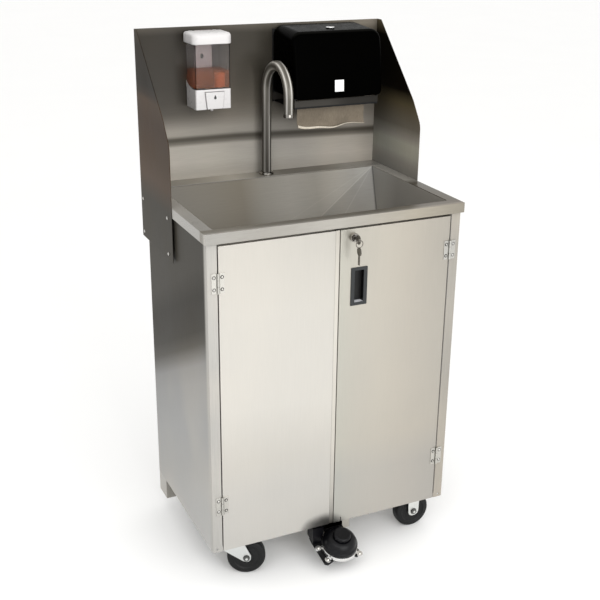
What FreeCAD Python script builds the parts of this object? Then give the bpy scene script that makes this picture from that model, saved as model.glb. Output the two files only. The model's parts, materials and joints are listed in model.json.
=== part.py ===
"""Portable hand-wash sink: a stainless cabinet on four casters with a raised
splash guard, a deep bowl, a gooseneck spout fed by a foot pump, a soap
dispenser, a roll-towel dispenser and a fresh and a waste water tank inside.

Frame: millimetres, +X to the user's right, +Y to the rear, +Z up. The origin
is on the floor, in the middle of the whole object. Depths in this file are
measured from the front edge of the rim; `origin_depth` moves them to the frame.
"""
import FreeCAD, Part
import math
import os
import re
import Sketcher

from FreeCAD import Placement, Rotation, Vector

DIMENSIONS = [
    # whole cabinet
    ("rim_width", 690.0), ("rim_depth", 484.0), ("rim_height", 965.0),
    ("origin_depth", 209.8), ("gauge", 1.5), ("apron", 25.5),
    ("side_inset", 6.0), ("face_setback", 8.0), ("cabinet_rear", 457.0),
    ("cabinet_bottom", 113.0), ("stile", 25.0), ("pan_level", 127.0),
    # doors
    ("door_gap", 3.0), ("door_depth", 18.0), ("door_top_gap", 33.0),
    ("left_door_end", -11.0), ("right_door_start", 2.4), ("strip_recess", 2.0),
    ("strip_gap", 1.15),
    ("hinge_height", 50.0), ("hinge_leaf", 13.0), ("hinge_standoff", 3.1),
    ("knuckle_radius", 3.0), ("pin_radius", 1.8), ("upper_hinge", 843.0),
    ("lower_hinge", 248.0), ("lock_across", 36.0), ("lock_level", 912.0),
    ("pull_across", 55.5), ("pull_level", 782.5), ("pull_width", 45.5),
    ("pull_height", 99.5),
    # bowl and drain
    ("rim_front", 33.0), ("rim_side", 31.0), ("deck_front", 426.5),
    ("bowl_depth", 162.0), ("drain_depth", 200.0),
    # splash guard
    ("splash_height", 397.0), ("splash_drop", 141.0), ("wing_front", 232.0),
    # spout
    ("spout_depth", 455.0), ("spout_radius", 12.7), ("spout_rise", 222.6),
    ("spout_bend", 72.0), ("spout_drop", 40.0),
    # tanks
    ("tank_radius", 22.0), ("hose_radius", 6.5), ("drain_hose_radius", 16.0),
    # soap dispenser
    ("soap_centre", -167.0), ("soap_width", 96.0), ("soap_front", 407.0),
    ("soap_base_low", 1162.0), ("soap_base_high", 1213.0),
    ("soap_tank_high", 1325.0), ("soap_lid_high", 1353.0),
    ("soap_level", 1258.0),
    # towel dispenser
    ("towel_left", 29.0), ("towel_right", 287.0), ("towel_front", 338.0),
    ("towel_low", 1182.0), ("towel_high", 1360.0), ("lip_low", 1157.0),
    ("roll_radius", 58.0), ("roll_width", 200.0), ("roll_depth", 414.0),
    ("roll_level", 1270.0), ("paper_low", 1093.0),
    # foot pump
    ("pump_across", 9.5), ("pump_depth", -14.0), ("pump_level", 51.4), ("pump_tilt", 20.0),
    # casters
    ("wheel_radius", 51.0), ("wheel_width", 32.0), ("caster_trail", 38.0),
    ("swivel_across", -266.0), ("swivel_front", 69.0), ("swivel_rear", 305.0),
    ("rigid_across", 280.0), ("rigid_front", 73.0), ("rigid_rear", 362.0), ("axle_radius", 5.0),
    ("axle_bore", 5.06),
]

doc = FreeCAD.newDocument("HandwashSink")
sheet = doc.addObject("Spreadsheet::Sheet", "Dims")
for row, (alias, number) in enumerate(DIMENSIONS, start=1):
    sheet.set(f"A{row}", alias)
    sheet.set(f"B{row}", str(number))
    sheet.setAlias(f"B{row}", alias)
doc.recompute()
ALIASES = {alias for alias, _ in DIMENSIONS}
nodes = {}


def link(text):
    """An expression on the sheet from plain text such as 'rim_width / 2'."""
    def name(match):
        return f"Dims.{match[0]}" if match[0] in ALIASES else match[0]
    return re.sub(r"[a-z][a-z_]*", name, str(text))


def size(text):
    """The value in millimetres of such an expression now."""
    return float(sheet.evalExpression(link(text)))


def place(item, at, turn=None):
    """Bind an object's position to the sheet; `at` is (across, depth, height)."""
    if turn:
        item.Placement = Placement(Vector(), turn)
    across, depth, height = at
    item.setExpression("Placement.Base.x", link(across))
    item.setExpression("Placement.Base.y", link(f"{depth} - origin_depth"))
    item.setExpression("Placement.Base.z", link(height))
    return item


def node(item, label):
    """Name a finished sub-part and list it for export."""
    item.Label = label
    nodes[label] = item
    return item


def box(across, depth, height):
    """A block from three (low, high) pairs."""
    item = doc.addObject("Part::Box", "Block")
    for side, (low, high) in zip(("Length", "Width", "Height"), (across, depth, height)):
        item.setExpression(side, link(f"({high}) - ({low})"))
    return place(item, (across[0], depth[0], height[0]))


def cylinder(radius, length, at, turn=None):
    """A round bar from `at` along +Z, or along the turned axis."""
    item = doc.addObject("Part::Cylinder", "Bar")
    item.setExpression("Radius", link(radius))
    item.setExpression("Height", link(length))
    return place(item, at, turn)


def wedge(bottom, top, low, high):
    """A straight taper between two rectangles (x0, x1, y0, y1)."""
    item = doc.addObject("Part::Wedge", "Taper")
    limits = {
        "Xmin": bottom[0], "Xmax": bottom[1], "Zmin": f"-({bottom[3]})", "Zmax": f"-({bottom[2]})",
        "X2min": top[0], "X2max": top[1], "Z2min": f"-({top[3]})", "Z2max": f"-({top[2]})",
        "Ymin": low, "Ymax": high,
    }
    for side, text in limits.items():
        item.setExpression(side, link(text))
    return place(item, ("0", "0", "0"), FORWARD)


def fuse(*shapes):
    item = doc.addObject("Part::MultiFuse", "Joined")
    item.Shapes = list(shapes)
    return item


def common(*shapes):
    item = doc.addObject("Part::MultiCommon", "Shared")
    item.Shapes = list(shapes)
    return item


def cut(base, *tools):
    item = doc.addObject("Part::Cut", "Cut")
    item.Base = base
    item.Tool = tools[0] if len(tools) == 1 else fuse(*tools)
    return item


def rounded(base, radius, keep):
    """Round the edges of `base` whose two ends satisfy `keep`."""
    doc.recompute()
    item = doc.addObject("Part::Fillet", "Rounded")
    item.Base = base
    edges = []
    for index, edge in enumerate(base.Shape.Edges, start=1):
        ends = [vertex.Point for vertex in edge.Vertexes]
        if len(ends) == 2 and keep(*ends):
            edges.append((index, size(radius), size(radius)))
    item.Edges = edges
    return item


def upright(one, two):
    return abs(one.z - two.z) > 1.0 and abs(one.x - two.x) + abs(one.y - two.y) < 0.01


def fore_and_aft(one, two):
    return abs(one.y - two.y) > 1.0 and abs(one.x - two.x) + abs(one.z - two.z) < 0.01


def new_sketch(body, plane, outline, height="0"):
    """A closed outline, each corner held by two distances bound to the sheet."""
    sketch = body.newObject("Sketcher::SketchObject", "Outline")
    support = [item for item in body.Origin.OriginFeatures if item.Role == plane]
    sketch.AttachmentSupport = [(support[0], "")]
    sketch.MapMode = "FlatFace"
    if height != "0":
        sketch.setExpression("AttachmentOffset.Base.z", link(height))
    corners = [Vector(size(u), size(v), 0) for u, v in outline]
    for index, corner in enumerate(corners):
        sketch.addGeometry(Part.LineSegment(corner, corners[(index + 1) % len(corners)]), False)
    for index in range(len(corners)):
        following = (index + 1) % len(corners)
        sketch.addConstraint(Sketcher.Constraint("Coincident", index, 2, following, 1))
    for index, (u, v) in enumerate(outline):
        for kind, text in (("DistanceX", u), ("DistanceY", v)):
            number = sketch.addConstraint(Sketcher.Constraint(kind, -1, 1, index, 1, size(text)))
            sketch.setExpression(f"Constraints[{number}]", link(text))
    return sketch


def prism(plane, outline, length, at, turn=None):
    """A padded outline; the plane's normal is the direction of the pad."""
    body = doc.addObject("PartDesign::Body", "Prism")
    pad = body.newObject("PartDesign::Pad", "Pad")
    pad.Profile = new_sketch(body, plane, outline)
    pad.setExpression("Length", link(length))
    body.Tip = pad
    return place(body, at, turn)


def turned(profile, at, turn=None):
    """A profile of (radius, height) corners turned about its upright axis."""
    body = doc.addObject("PartDesign::Body", "Turned")
    sketch = new_sketch(body, "XZ_Plane", profile)
    spin = body.newObject("PartDesign::Revolution", "Spin")
    spin.Profile = sketch
    spin.ReferenceAxis = (sketch, ["V_Axis"])
    spin.Angle = 360
    body.Tip = spin
    return place(body, at, turn)


def bent_tube(radius, corners, bend):
    """A round hose along straight runs joined by tangent arcs."""
    points = [Vector(size(x), size(f"{y} - origin_depth"), size(z)) for x, y, z in corners]
    edges = []
    start = points[0]
    for before, corner, after in zip(points, points[1:], points[2:]):
        inward = (corner - before).normalize()
        onward = (after - corner).normalize()
        half = inward.getAngle(onward) / 2
        reach = bend * math.tan(half)
        enter, leave = corner - inward * reach, corner + onward * reach
        middle = corner + (onward - inward).normalize() * bend * (1 / math.cos(half) - 1)
        edges.append(Part.LineSegment(start, enter).toShape())
        edges.append(Part.Arc(enter, middle, leave).toShape())
        start = leave
    edges.append(Part.LineSegment(start, points[-1]).toShape())
    path = Part.Wire(edges)
    direction = (points[1] - points[0]).normalize()
    mouth = Part.Wire([Part.Circle(points[0], direction, size(radius)).toShape()])
    hose = doc.addObject("Part::Feature", "Hose")
    hose.Shape = path.makePipeShell([mouth], True, False)
    expected = math.pi * size(radius) ** 2 * path.Length
    if abs(hose.Shape.Volume / expected - 1) > 0.01:
        raise ValueError("a hose is not the volume its length gives")
    return hose


FORWARD = Rotation(Vector(1, 0, 0), 90)      # turns +Z to point to the front, -Y
REARWARD = Rotation(Vector(1, 0, 0), -90)    # turns +Z to point to the rear, +Y
TO_RIGHT = Rotation(Vector(0, 1, 0), 90)     # turns +Z to point along +X
TO_LEFT = Rotation(Vector(0, 1, 0), -90)     # turns +Z to point along -X

HALF = "rim_width / 2"
SIDE = f"({HALF} - side_inset)"
UNDER_RIM = "(rim_height - gauge)"
REAR_FACE = "(face_setback + door_depth)"


# --- cabinet shell -----------------------------------------------------------
def side_panel(sign, label):
    """A side sheet folded round the front and rear corners."""
    outline = [
        (SIDE, "face_setback"),
        (f"{SIDE} - stile", "face_setback"),
        (f"{SIDE} - stile", REAR_FACE),
        (f"{SIDE} - stile + gauge", REAR_FACE),
        (f"{SIDE} - stile + gauge", "face_setback + gauge"),
        (f"{SIDE} - gauge", "face_setback + gauge"),
        (f"{SIDE} - gauge", "cabinet_rear - gauge"),
        (f"{SIDE} - stile", "cabinet_rear - gauge"),
        (f"{SIDE} - stile", "cabinet_rear"),
        (SIDE, "cabinet_rear"),
    ]
    outline = [(f"{sign} * ({x})", y) for x, y in outline]
    sheet_metal = prism("XY_Plane", outline, f"{UNDER_RIM} - cabinet_bottom", ("0", "0", "cabinet_bottom"))
    foot_hole = cylinder("2.6", "6", (f"{sign} * ({SIDE} - stile * 0.42)", "face_setback + 3",
                                      "cabinet_bottom + 9"), FORWARD)
    edge = f"{sign} * ({SIDE} - stile)"
    low, high = (f"{edge} - 2", edge) if sign > 0 else (edge, f"{edge} + 2")
    gap_stop = box((low, high), ("face_setback + 1", REAR_FACE), ("cabinet_bottom", "cabinet_bottom + 14"))
    node(fuse(cut(sheet_metal, foot_hole), gap_stop), label)


side_panel(-1, "side_panel_left")
side_panel(1, "side_panel_right")

INNER = f"({SIDE} - gauge)"
service_notch = box(("-45", "45"), ("cabinet_rear - 12", "cabinet_rear + 5"), ("760", "rim_height"))
node(cut(box((f"-{INNER}", INNER), ("cabinet_rear - 2 * gauge", "cabinet_rear - gauge"),
             ("pan_level + gauge", UNDER_RIM)), service_notch), "back_panel")

HOSE_ACROSS, SUPPLY_DEPTH, SUCTION_DEPTH = "-45", "100", "122"
PAN_FRONT, PAN_REAR = f"({REAR_FACE} + 2)", "(cabinet_rear - gauge)"
pan = cut(
    box((f"-{INNER}", INNER), (PAN_FRONT, PAN_REAR), ("cabinet_bottom", "pan_level + gauge")),
    box((f"-{INNER} + gauge", f"{INNER} - gauge"), (f"{PAN_FRONT} + gauge", f"{PAN_REAR} - gauge"),
        ("cabinet_bottom - 1", "pan_level")),
    cylinder("hose_radius + 2", "20", (HOSE_ACROSS, SUPPLY_DEPTH, "pan_level - 5")),
    cylinder("hose_radius + 2", "20", (HOSE_ACROSS, SUCTION_DEPTH, "pan_level - 5")))
node(pan, "bottom_pan")

# strike rail behind the top of the doors
node(box((f"-{SIDE} + stile", f"{SIDE} - stile"), (f"{REAR_FACE} + 1", f"{REAR_FACE} + 2.5"),
         ("rim_height - door_top_gap - 2", UNDER_RIM)), "front_rail")


def rear_guard(sign, label):
    """An open-ended corner tube below the rear corners of the cabinet."""
    near, far = f"{sign} * {SIDE}", f"{sign} * ({SIDE} - 30)"
    low, high = (near, far) if sign < 0 else (far, near)
    outer = box((low, high), ("cabinet_rear - 62", "cabinet_rear"), ("53", "cabinet_bottom"))
    inner = box((f"{low} + 2", f"{high} - 2"), ("cabinet_rear - 60", "cabinet_rear - 2"),
                ("50", "cabinet_bottom + 2"))
    node(cut(outer, inner), label)


rear_guard(-1, "rear_guard_left")
rear_guard(1, "rear_guard_right")

# --- rim, deck and bowl --------------------------------------------------------
OPENING = f"({HALF} - rim_side)"
rim_blank = box((f"-{HALF}", HALF), ("0", "rim_depth"), ("rim_height - apron", "rim_height"))
rim_hollow = box((f"-{HALF} + gauge", f"{HALF} - gauge"), ("gauge", "rim_depth + 1"),
                 ("rim_height - apron - 1", UNDER_RIM))
rim_opening = rounded(box((f"-{OPENING}", OPENING), ("rim_front", "deck_front"),
                          ("rim_height - 10", "rim_height + 5")), "6", upright)
spout_hole = cylinder("11", "20", ("0", "spout_depth", "rim_height - 12"))
node(cut(rim_blank, rim_hollow, rim_opening, spout_hole), "sink_top")

BOWL_TOP = (f"-{OPENING} + 1", f"{OPENING} - 1", "rim_front + 1", "deck_front - 1")
BOWL_FOOT = (f"-{OPENING} + 11", f"{OPENING} - 11", "rim_front + 4", "deck_front - 66")
BOWL_FLOOR = f"({UNDER_RIM} - bowl_depth)"


def grown(rectangle, by):
    x0, x1, y0, y1 = rectangle
    return (f"{x0} - {by}", f"{x1} + {by}", f"{y0} - {by}", f"{y1} + {by}")


bowl = cut(wedge(grown(BOWL_FOOT, "gauge"), grown(BOWL_TOP, "gauge"), f"{BOWL_FLOOR} - gauge", UNDER_RIM),
           wedge(BOWL_FOOT, BOWL_TOP, BOWL_FLOOR, UNDER_RIM),
           cylinder("40", "10", ("0", "drain_depth", f"{BOWL_FLOOR} - 5")))
node(bowl, "sink_bowl")

strainer = turned([("16", "-60"), ("19", "-60"), ("19", "-33"), ("39.5", "-33"), ("39.5", "0"), ("47", "0"),
                   ("47", "1.2"), ("42", "2.4"), ("0", "2.4"), ("0", "0"), ("37", "0"), ("37", "-31"),
                   ("16", "-31")], ("0", "drain_depth", BOWL_FLOOR))
strainer_holes = [cylinder("3.4", "8", (f"{ring * 12} * cos({60 * step / ring})",
                                        f"drain_depth + {ring * 12} * sin({60 * step / ring})",
                                        f"{BOWL_FLOOR} - 3"))
                  for ring in (1, 2) for step in range(6 * ring)]
node(cut(strainer, *strainer_holes), "drain_strainer")

TAIL_TOP = f"({BOWL_FLOOR} - 60)"
node(turned([("0", "-80"), ("19", "-80"), ("19", "-4"), ("27", "-4"), ("27", "16"), ("19.3", "16"),
             ("19.3", "-0.2"), ("0", "-0.2")], ("0", "drain_depth", TAIL_TOP)), "drain_tailpiece")

# --- water tanks and hoses -------------------------------------------------------
TANKS = {
    "fresh_tank": (("-300", "-50"), ("130", "400"), "448", ("-175", "265")),
    "waste_tank": (("25", "305"), ("130", "410"), "488", ("165", "250")),
}
caps = []
for label, (across, depth, top, (neck_x, neck_y)) in TANKS.items():
    shell = box(across, depth, ("pan_level + gauge", top))
    shell = rounded(shell, "tank_radius", lambda one, two: upright(one, two) or min(one.z, two.z) > 300)
    neck = cylinder("28", "16", (neck_x, neck_y, f"{top} - 2"))
    node(fuse(shell, neck), label)
    caps.append(turned([("0", "14.3"), ("28.4", "14.3"), ("28.4", "2"), ("34", "2"), ("34", "24"),
                        ("31", "27"), ("0", "27")], (neck_x, neck_y, top)))
node(fuse(*caps), "tank_caps")

PORT_REAR, SUCTION_LEVEL, SUPPLY_LEVEL = "46", "78.5", "96"
node(bent_tube("hose_radius", [
    (HOSE_ACROSS, PORT_REAR, SUCTION_LEVEL), (HOSE_ACROSS, SUCTION_DEPTH, SUCTION_LEVEL),
    (HOSE_ACROSS, SUCTION_DEPTH, "520"),
    ("-175", "265", "530"), ("-175", "265", "448 + 27")], 32.0), "suction_hose")
node(bent_tube("hose_radius", [
    (HOSE_ACROSS, PORT_REAR, SUPPLY_LEVEL), (HOSE_ACROSS, SUPPLY_DEPTH, SUPPLY_LEVEL),
    (HOSE_ACROSS, SUPPLY_DEPTH, "600"),
    ("0", "425", "630"), ("0", "425", "745"), ("0", "spout_depth", "845"),
    ("0", "spout_depth", "rim_height - 60")], 32.0), "supply_hose")
node(bent_tube("drain_hose_radius", [
    ("0", "drain_depth", f"{TAIL_TOP} - 80"), ("0", "drain_depth", "600"),
    ("165", "250", "575"), ("165", "250", "488 + 27")], 30.0), "drain_hose")

# --- splash guard -----------------------------------------------------------------
SPLASH_LOW, SPLASH_HIGH = "(rim_height - splash_drop)", "(rim_height + splash_height)"
splash_sheet = box((f"-{HALF}", HALF), ("rim_depth", "rim_depth + gauge"), (SPLASH_LOW, SPLASH_HIGH))
returns = [box((low, high), ("rim_depth - 26", "rim_depth"), (SPLASH_LOW, "rim_height - apron - 1"))
           for low, high in ((f"-{HALF}", f"-{HALF} + gauge"), (f"{HALF} - gauge", HALF))]
node(fuse(splash_sheet, *returns), "splash_back")

WING_OUTLINE = [
    ("rim_depth + gauge", "-splash_drop"), ("rim_depth + gauge", "splash_height"),
    ("rim_depth - 21", "splash_height"), ("274", "209"), ("wing_front", "150"),
    ("wing_front", "-splash_drop"),
]
for label, foot in (("splash_wing_left", f"-{HALF} - gauge"), ("splash_wing_right", HALF)):
    wing = prism("YZ_Plane", WING_OUTLINE, "gauge", (foot, "0", "rim_height"))
    blend = rounded(wing, "45", lambda one, two: abs(one.z - two.z) < 0.01 and abs(one.x - two.x) > 1.0
                    and size("wing_front") - size("origin_depth") - 1 < one.y < 100
                    and one.z > size("rim_height") + 100)
    node(blend, label)

WING_SCREWS = [("265", "-33"), ("265", "-126"), ("466", "-35"), ("466", "-125")]
HINGES = ("upper_hinge", "lower_hinge")
PIN_AT = f"({SIDE} - stile - door_gap / 2)"
PIN_DEPTH = "(face_setback - hinge_standoff)"


def pan_head(at, turn, radius="4.4", height="2.4"):
    """A dome-headed screw head with its foot at `at`."""
    return turned([("0", "0"), (radius, "0"), (radius, f"{height} * 0.45"), (f"{radius} * 0.6", height),
                   ("0", height)], at, turn)


cabinet_screws = []
for depth, level in WING_SCREWS:
    cabinet_screws.append(pan_head((f"-{HALF} - gauge", depth, f"rim_height + {level}"), TO_LEFT))
    cabinet_screws.append(pan_head((f"{HALF} + gauge", depth, f"rim_height + {level}"), TO_RIGHT))
for depth, level in WING_SCREWS[:2]:
    cabinet_screws.append(cylinder("5", "side_inset", (f"-{HALF}", depth, f"rim_height + {level}"),
                                   TO_RIGHT))
    cabinet_screws.append(cylinder("5", "side_inset", (SIDE, depth, f"rim_height + {level}"), TO_RIGHT))
for sign in (-1, 1):
    for middle in HINGES:
        for shift in ("+ hinge_height * 0.3", "- hinge_height * 0.3"):
            cabinet_screws.append(pan_head((f"{sign} * ({PIN_AT} + 10)", "face_setback - gauge",
                                            f"{middle} {shift}"), FORWARD, "3.3", "1.5"))


# --- butt hinges ------------------------------------------------------------------
def hinge_leaf(sign, outward, middle, segments, bored):
    """One leaf: a plate on the face and its share of the knuckles."""
    way = sign * outward
    near, far = f"{sign} * {PIN_AT} + {way} * 3.4", f"{sign} * {PIN_AT} + {way} * (3.4 + hinge_leaf)"
    plate = (near, far) if way > 0 else (far, near)
    arm = (f"{sign} * {PIN_AT}", near) if way > 0 else (near, f"{sign} * {PIN_AT}")
    pieces = [box(plate, ("face_setback - gauge", "face_setback"),
                  (f"{middle} - hinge_height / 2", f"{middle} + hinge_height / 2"))]
    for low, high in segments:
        span = (f"{middle} + hinge_height * {low}", f"{middle} + hinge_height * {high}")
        pieces.append(box(arm, ("face_setback - gauge", "face_setback - 0.4"), span))
        pieces.append(cylinder("knuckle_radius", f"hinge_height * ({high} - {low})",
                               (f"{sign} * {PIN_AT}", PIN_DEPTH, span[0])))
    bar = [f"{sign} * {PIN_AT}", PIN_DEPTH, f"{middle} - hinge_height / 2"]
    if bored:
        return cut(fuse(*pieces), cylinder("pin_radius + 0.05", "hinge_height", bar))
    return fuse(*pieces, cylinder("pin_radius", "hinge_height", bar))


FRAME_KNUCKLES = [(-0.5, -0.17), (0.17, 0.5)]
DOOR_KNUCKLES = [(-0.16, 0.16)]
node(fuse(*[hinge_leaf(sign, 1, middle, FRAME_KNUCKLES, False) for sign in (-1, 1) for middle in HINGES]),
     "hinge_frame_leaves")
for sign, label in ((-1, "door_left_hinges"), (1, "door_right_hinges")):
    pieces = [hinge_leaf(sign, -1, middle, DOOR_KNUCKLES, True) for middle in HINGES]
    for middle in HINGES:
        for shift in ("+ hinge_height * 0.3", "- hinge_height * 0.3"):
            pieces.append(pan_head((f"{sign} * ({PIN_AT} - 10)", "face_setback - gauge",
                                    f"{middle} {shift}"), FORWARD, "3.3", "1.5"))
    node(fuse(*pieces), label)


# --- doors ------------------------------------------------------------------------
DOOR_TOP = "(rim_height - door_top_gap)"
DOOR_EDGE = f"({SIDE} - stile - door_gap)"


def door_tray(low, high):
    outer = box((low, high), ("face_setback", REAR_FACE), ("cabinet_bottom", DOOR_TOP))
    inner = box((f"{low} + gauge", f"{high} - gauge"), ("face_setback + gauge", f"{REAR_FACE} + 1"),
                ("cabinet_bottom + gauge", f"{DOOR_TOP} - gauge"))
    return outer, inner


node(cut(*door_tray(f"-{DOOR_EDGE}", "left_door_end")), "door_left")
strip_outline = [
    ("left_door_end", "face_setback + strip_recess"),
    ("right_door_start - strip_gap", "face_setback + strip_recess"),
    ("right_door_start - strip_gap", REAR_FACE),
    ("right_door_start - strip_gap - gauge", REAR_FACE),
    ("right_door_start - strip_gap - gauge", "face_setback + strip_recess + gauge"),
    ("left_door_end", "face_setback + strip_recess + gauge"),
]
node(prism("XY_Plane", strip_outline, f"{DOOR_TOP} - cabinet_bottom", ("0", "0", "cabinet_bottom")),
     "door_strip")

lock_hole = cylinder("9.7", "40", ("lock_across", "-10", "lock_level"), REARWARD)
pull_hole = box(("pull_across - 15.2", "pull_across + 15.2"), ("0", "face_setback + 5"),
                ("pull_level - 44.2", "pull_level + 44.2"))
foot_notch = box(("22", "24"), ("face_setback - 1", "face_setback + 5"),
                 ("cabinet_bottom - 1", "cabinet_bottom + 13"))
node(cut(*door_tray("right_door_start", DOOR_EDGE), lock_hole, pull_hole, foot_notch), "door_right")

pull_plate = box(("pull_across - pull_width / 2", "pull_across + pull_width / 2"),
                 ("face_setback - 2", "face_setback"),
                 ("pull_level - pull_height / 2", "pull_level + pull_height / 2"))
pull_flange = rounded(pull_plate, "2", fore_and_aft)
pull_tub = box(("pull_across - 15", "pull_across + 15"), ("face_setback", f"{REAR_FACE} - 3"),
               ("pull_level - 44", "pull_level + 44"))
pull_hollow = box(("pull_across - 12.5", "pull_across + 12.5"), ("face_setback - 5", f"{REAR_FACE} - 5"),
                  ("pull_level - 41.5", "pull_level + 41.5"))
node(cut(fuse(pull_flange, pull_tub), pull_hollow), "pull_cup")

LOCK_FRONT = "(face_setback - 11)"
barrel = turned([("6.45", "0"), ("11", "0"), ("11", "11"), ("9.5", "11"), ("9.5", "30"), ("6.45", "30")],
                ("lock_across", LOCK_FRONT, "lock_level"), REARWARD)
node(barrel, "lock_barrel")
plug = cylinder("6.4", "33", ("lock_across", f"{LOCK_FRONT} - 1", "lock_level"), REARWARD)
cam = rounded(box(("lock_across - 7", "lock_across + 34"), (f"{REAR_FACE} + 3", f"{REAR_FACE} + 5"),
                  ("lock_level - 7", "lock_level + 7")), "6.5", fore_and_aft)
keyway = box(("lock_across - 1.2", "lock_across + 1.2"), (f"{LOCK_FRONT} - 3", "face_setback + 6"),
             ("lock_level - 4", "lock_level + 4"))
node(cut(fuse(plug, cam), keyway), "lock_plug")


def key_blank(length):
    """A flat key in the YZ plane: round bow to the front, blade to the rear."""
    bow = cylinder("11.5", "2", ("lock_across - 1", f"{LOCK_FRONT} - 16", "lock_level"), TO_RIGHT)
    eye = cylinder("3.2", "8", ("lock_across - 4", f"{LOCK_FRONT} - 22", "lock_level"), TO_RIGHT)
    blade = box(("lock_across - 1", "lock_across + 1"), (f"{LOCK_FRONT} - 8", f"{LOCK_FRONT} + {length}"),
                ("lock_level - 3.6", "lock_level + 3.6"))
    return cut(fuse(bow, blade), eye)


node(key_blank(14), "key")
HANG_DEPTH = f"({LOCK_FRONT} - 22)"
ring = doc.addObject("Part::Torus", "SplitRing")
ring.Radius1, ring.Radius2 = 9.0, 0.9
place(ring, ("lock_across", HANG_DEPTH, "lock_level - 9"), FORWARD)
spare_bow = cylinder("10.5", "2", ("lock_across - 1", HANG_DEPTH, "lock_level - 28"), TO_RIGHT)
spare_blade = box(("lock_across - 1", "lock_across + 1"), (f"{HANG_DEPTH} - 3.6", f"{HANG_DEPTH} + 3.6"),
                  ("lock_level - 62", "lock_level - 36"))
node(fuse(ring, spare_bow, spare_blade), "spare_key")

# --- spout ------------------------------------------------------------------------
node(turned([("0", "-60"), ("9", "-60"), ("9", "-19"), ("17", "-19"), ("17", "-2"), ("10.6", "-2"),
             ("10.6", "0"), ("20", "0"), ("20", "3"), ("17", "7"), ("0", "7")],
            ("0", "spout_depth", "rim_height")), "faucet_flange")

spout = doc.addObject("PartDesign::Body", "Spout")
spout_mouth = spout.newObject("Sketcher::SketchObject", "Mouth")
spout_mouth.AttachmentSupport = [([p for p in spout.Origin.OriginFeatures if p.Role == "XY_Plane"][0], "")]
spout_mouth.MapMode = "FlatFace"
spout_mouth.addGeometry(Part.Circle(Vector(), Vector(0, 0, 1), size("spout_radius")), False)
spout_mouth.addConstraint(Sketcher.Constraint("Coincident", 0, 3, -1, 1))
spout_mouth.addConstraint(Sketcher.Constraint("Radius", 0, size("spout_radius")))
spout_mouth.setExpression("Constraints[1]", link("spout_radius"))
spout_path = spout.newObject("Sketcher::SketchObject", "Path")
spout_path.AttachmentSupport = [([p for p in spout.Origin.OriginFeatures if p.Role == "YZ_Plane"][0], "")]
spout_path.MapMode = "FlatFace"
rise, bend, drop = size("spout_rise"), size("spout_bend"), size("spout_drop")
spout_path.addGeometry(Part.LineSegment(Vector(0, 0, 0), Vector(0, rise, 0)), False)
spout_path.addGeometry(Part.Arc(Vector(0, rise, 0), Vector(-bend, rise + bend, 0),
                                Vector(-2 * bend, rise, 0)), False)
spout_path.addGeometry(Part.LineSegment(Vector(-2 * bend, rise, 0), Vector(-2 * bend, rise - drop, 0)),
                       False)
spout_path.addConstraint(Sketcher.Constraint("Coincident", 0, 1, -1, 1))
spout_path.addConstraint(Sketcher.Constraint("DistanceY", -1, 1, 0, 2, rise))
spout_path.setExpression("Constraints[1]", link("spout_rise"))
spout_pipe = spout.newObject("PartDesign::AdditivePipe", "Tube")
spout_pipe.Profile = spout_mouth
spout_pipe.Spine = (spout_path, [])
spout.Tip = spout_pipe
place(spout, ("0", "spout_depth", "rim_height + 7.4"))
node(spout, "faucet_spout")

OUTLET_DEPTH = "(spout_depth - 2 * spout_bend)"
OUTLET_LEVEL = "(rim_height + 7.4 + spout_rise - spout_drop)"
node(turned([("9", "-8"), ("14", "-8"), ("14", "-6"), ("12.9", "0"), ("9", "0")],
            ("0", OUTLET_DEPTH, OUTLET_LEVEL)), "aerator")

# --- soap dispenser -----------------------------------------------------------------
SOAP_L, SOAP_R = "(soap_centre - soap_width / 2)", "(soap_centre + soap_width / 2)"
WALL = "rim_depth"
SOAP_BACK = f"({WALL} - 4)"
LID_PIN = (f"({WALL} - 2.7)", "(soap_lid_high - 3)")
node(fuse(box(("soap_centre - 22", "soap_centre + 24"), (f"{WALL} - 3.5", WALL),
              ("soap_base_low + 8", "soap_lid_high - 1")),
          cylinder("1.2", "80", ("soap_centre - 40", *LID_PIN), TO_RIGHT)), "soap_bracket")
node(cut(rounded(box((f"{SOAP_L} + 1", f"{SOAP_R} - 1"), ("soap_front + 1.5", SOAP_BACK),
                     ("soap_base_high", "soap_tank_high")), "3", upright),
         box((f"{SOAP_L} + 3.2", f"{SOAP_R} - 3.2"), ("soap_front + 3.7", f"{SOAP_BACK} - 2.2"),
             ("soap_base_high + 2.2", "soap_tank_high + 5"))), "soap_tank")
PUMP_X, PUMP_Y = "(soap_centre + 25)", "(soap_front + 24)"
node(cut(box((f"{SOAP_L} + 3.5", f"{SOAP_R} - 3.5"), ("soap_front + 4", f"{SOAP_BACK} - 2.5"),
             ("soap_base_high + 2.5", "soap_level")),
         cylinder("14.8", "60", (PUMP_X, PUMP_Y, "soap_base_high - 5"))), "soap_liquid")
node(cylinder("14.5", "34", (PUMP_X, PUMP_Y, "soap_base_high + 2.2")), "soap_pump")

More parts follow.
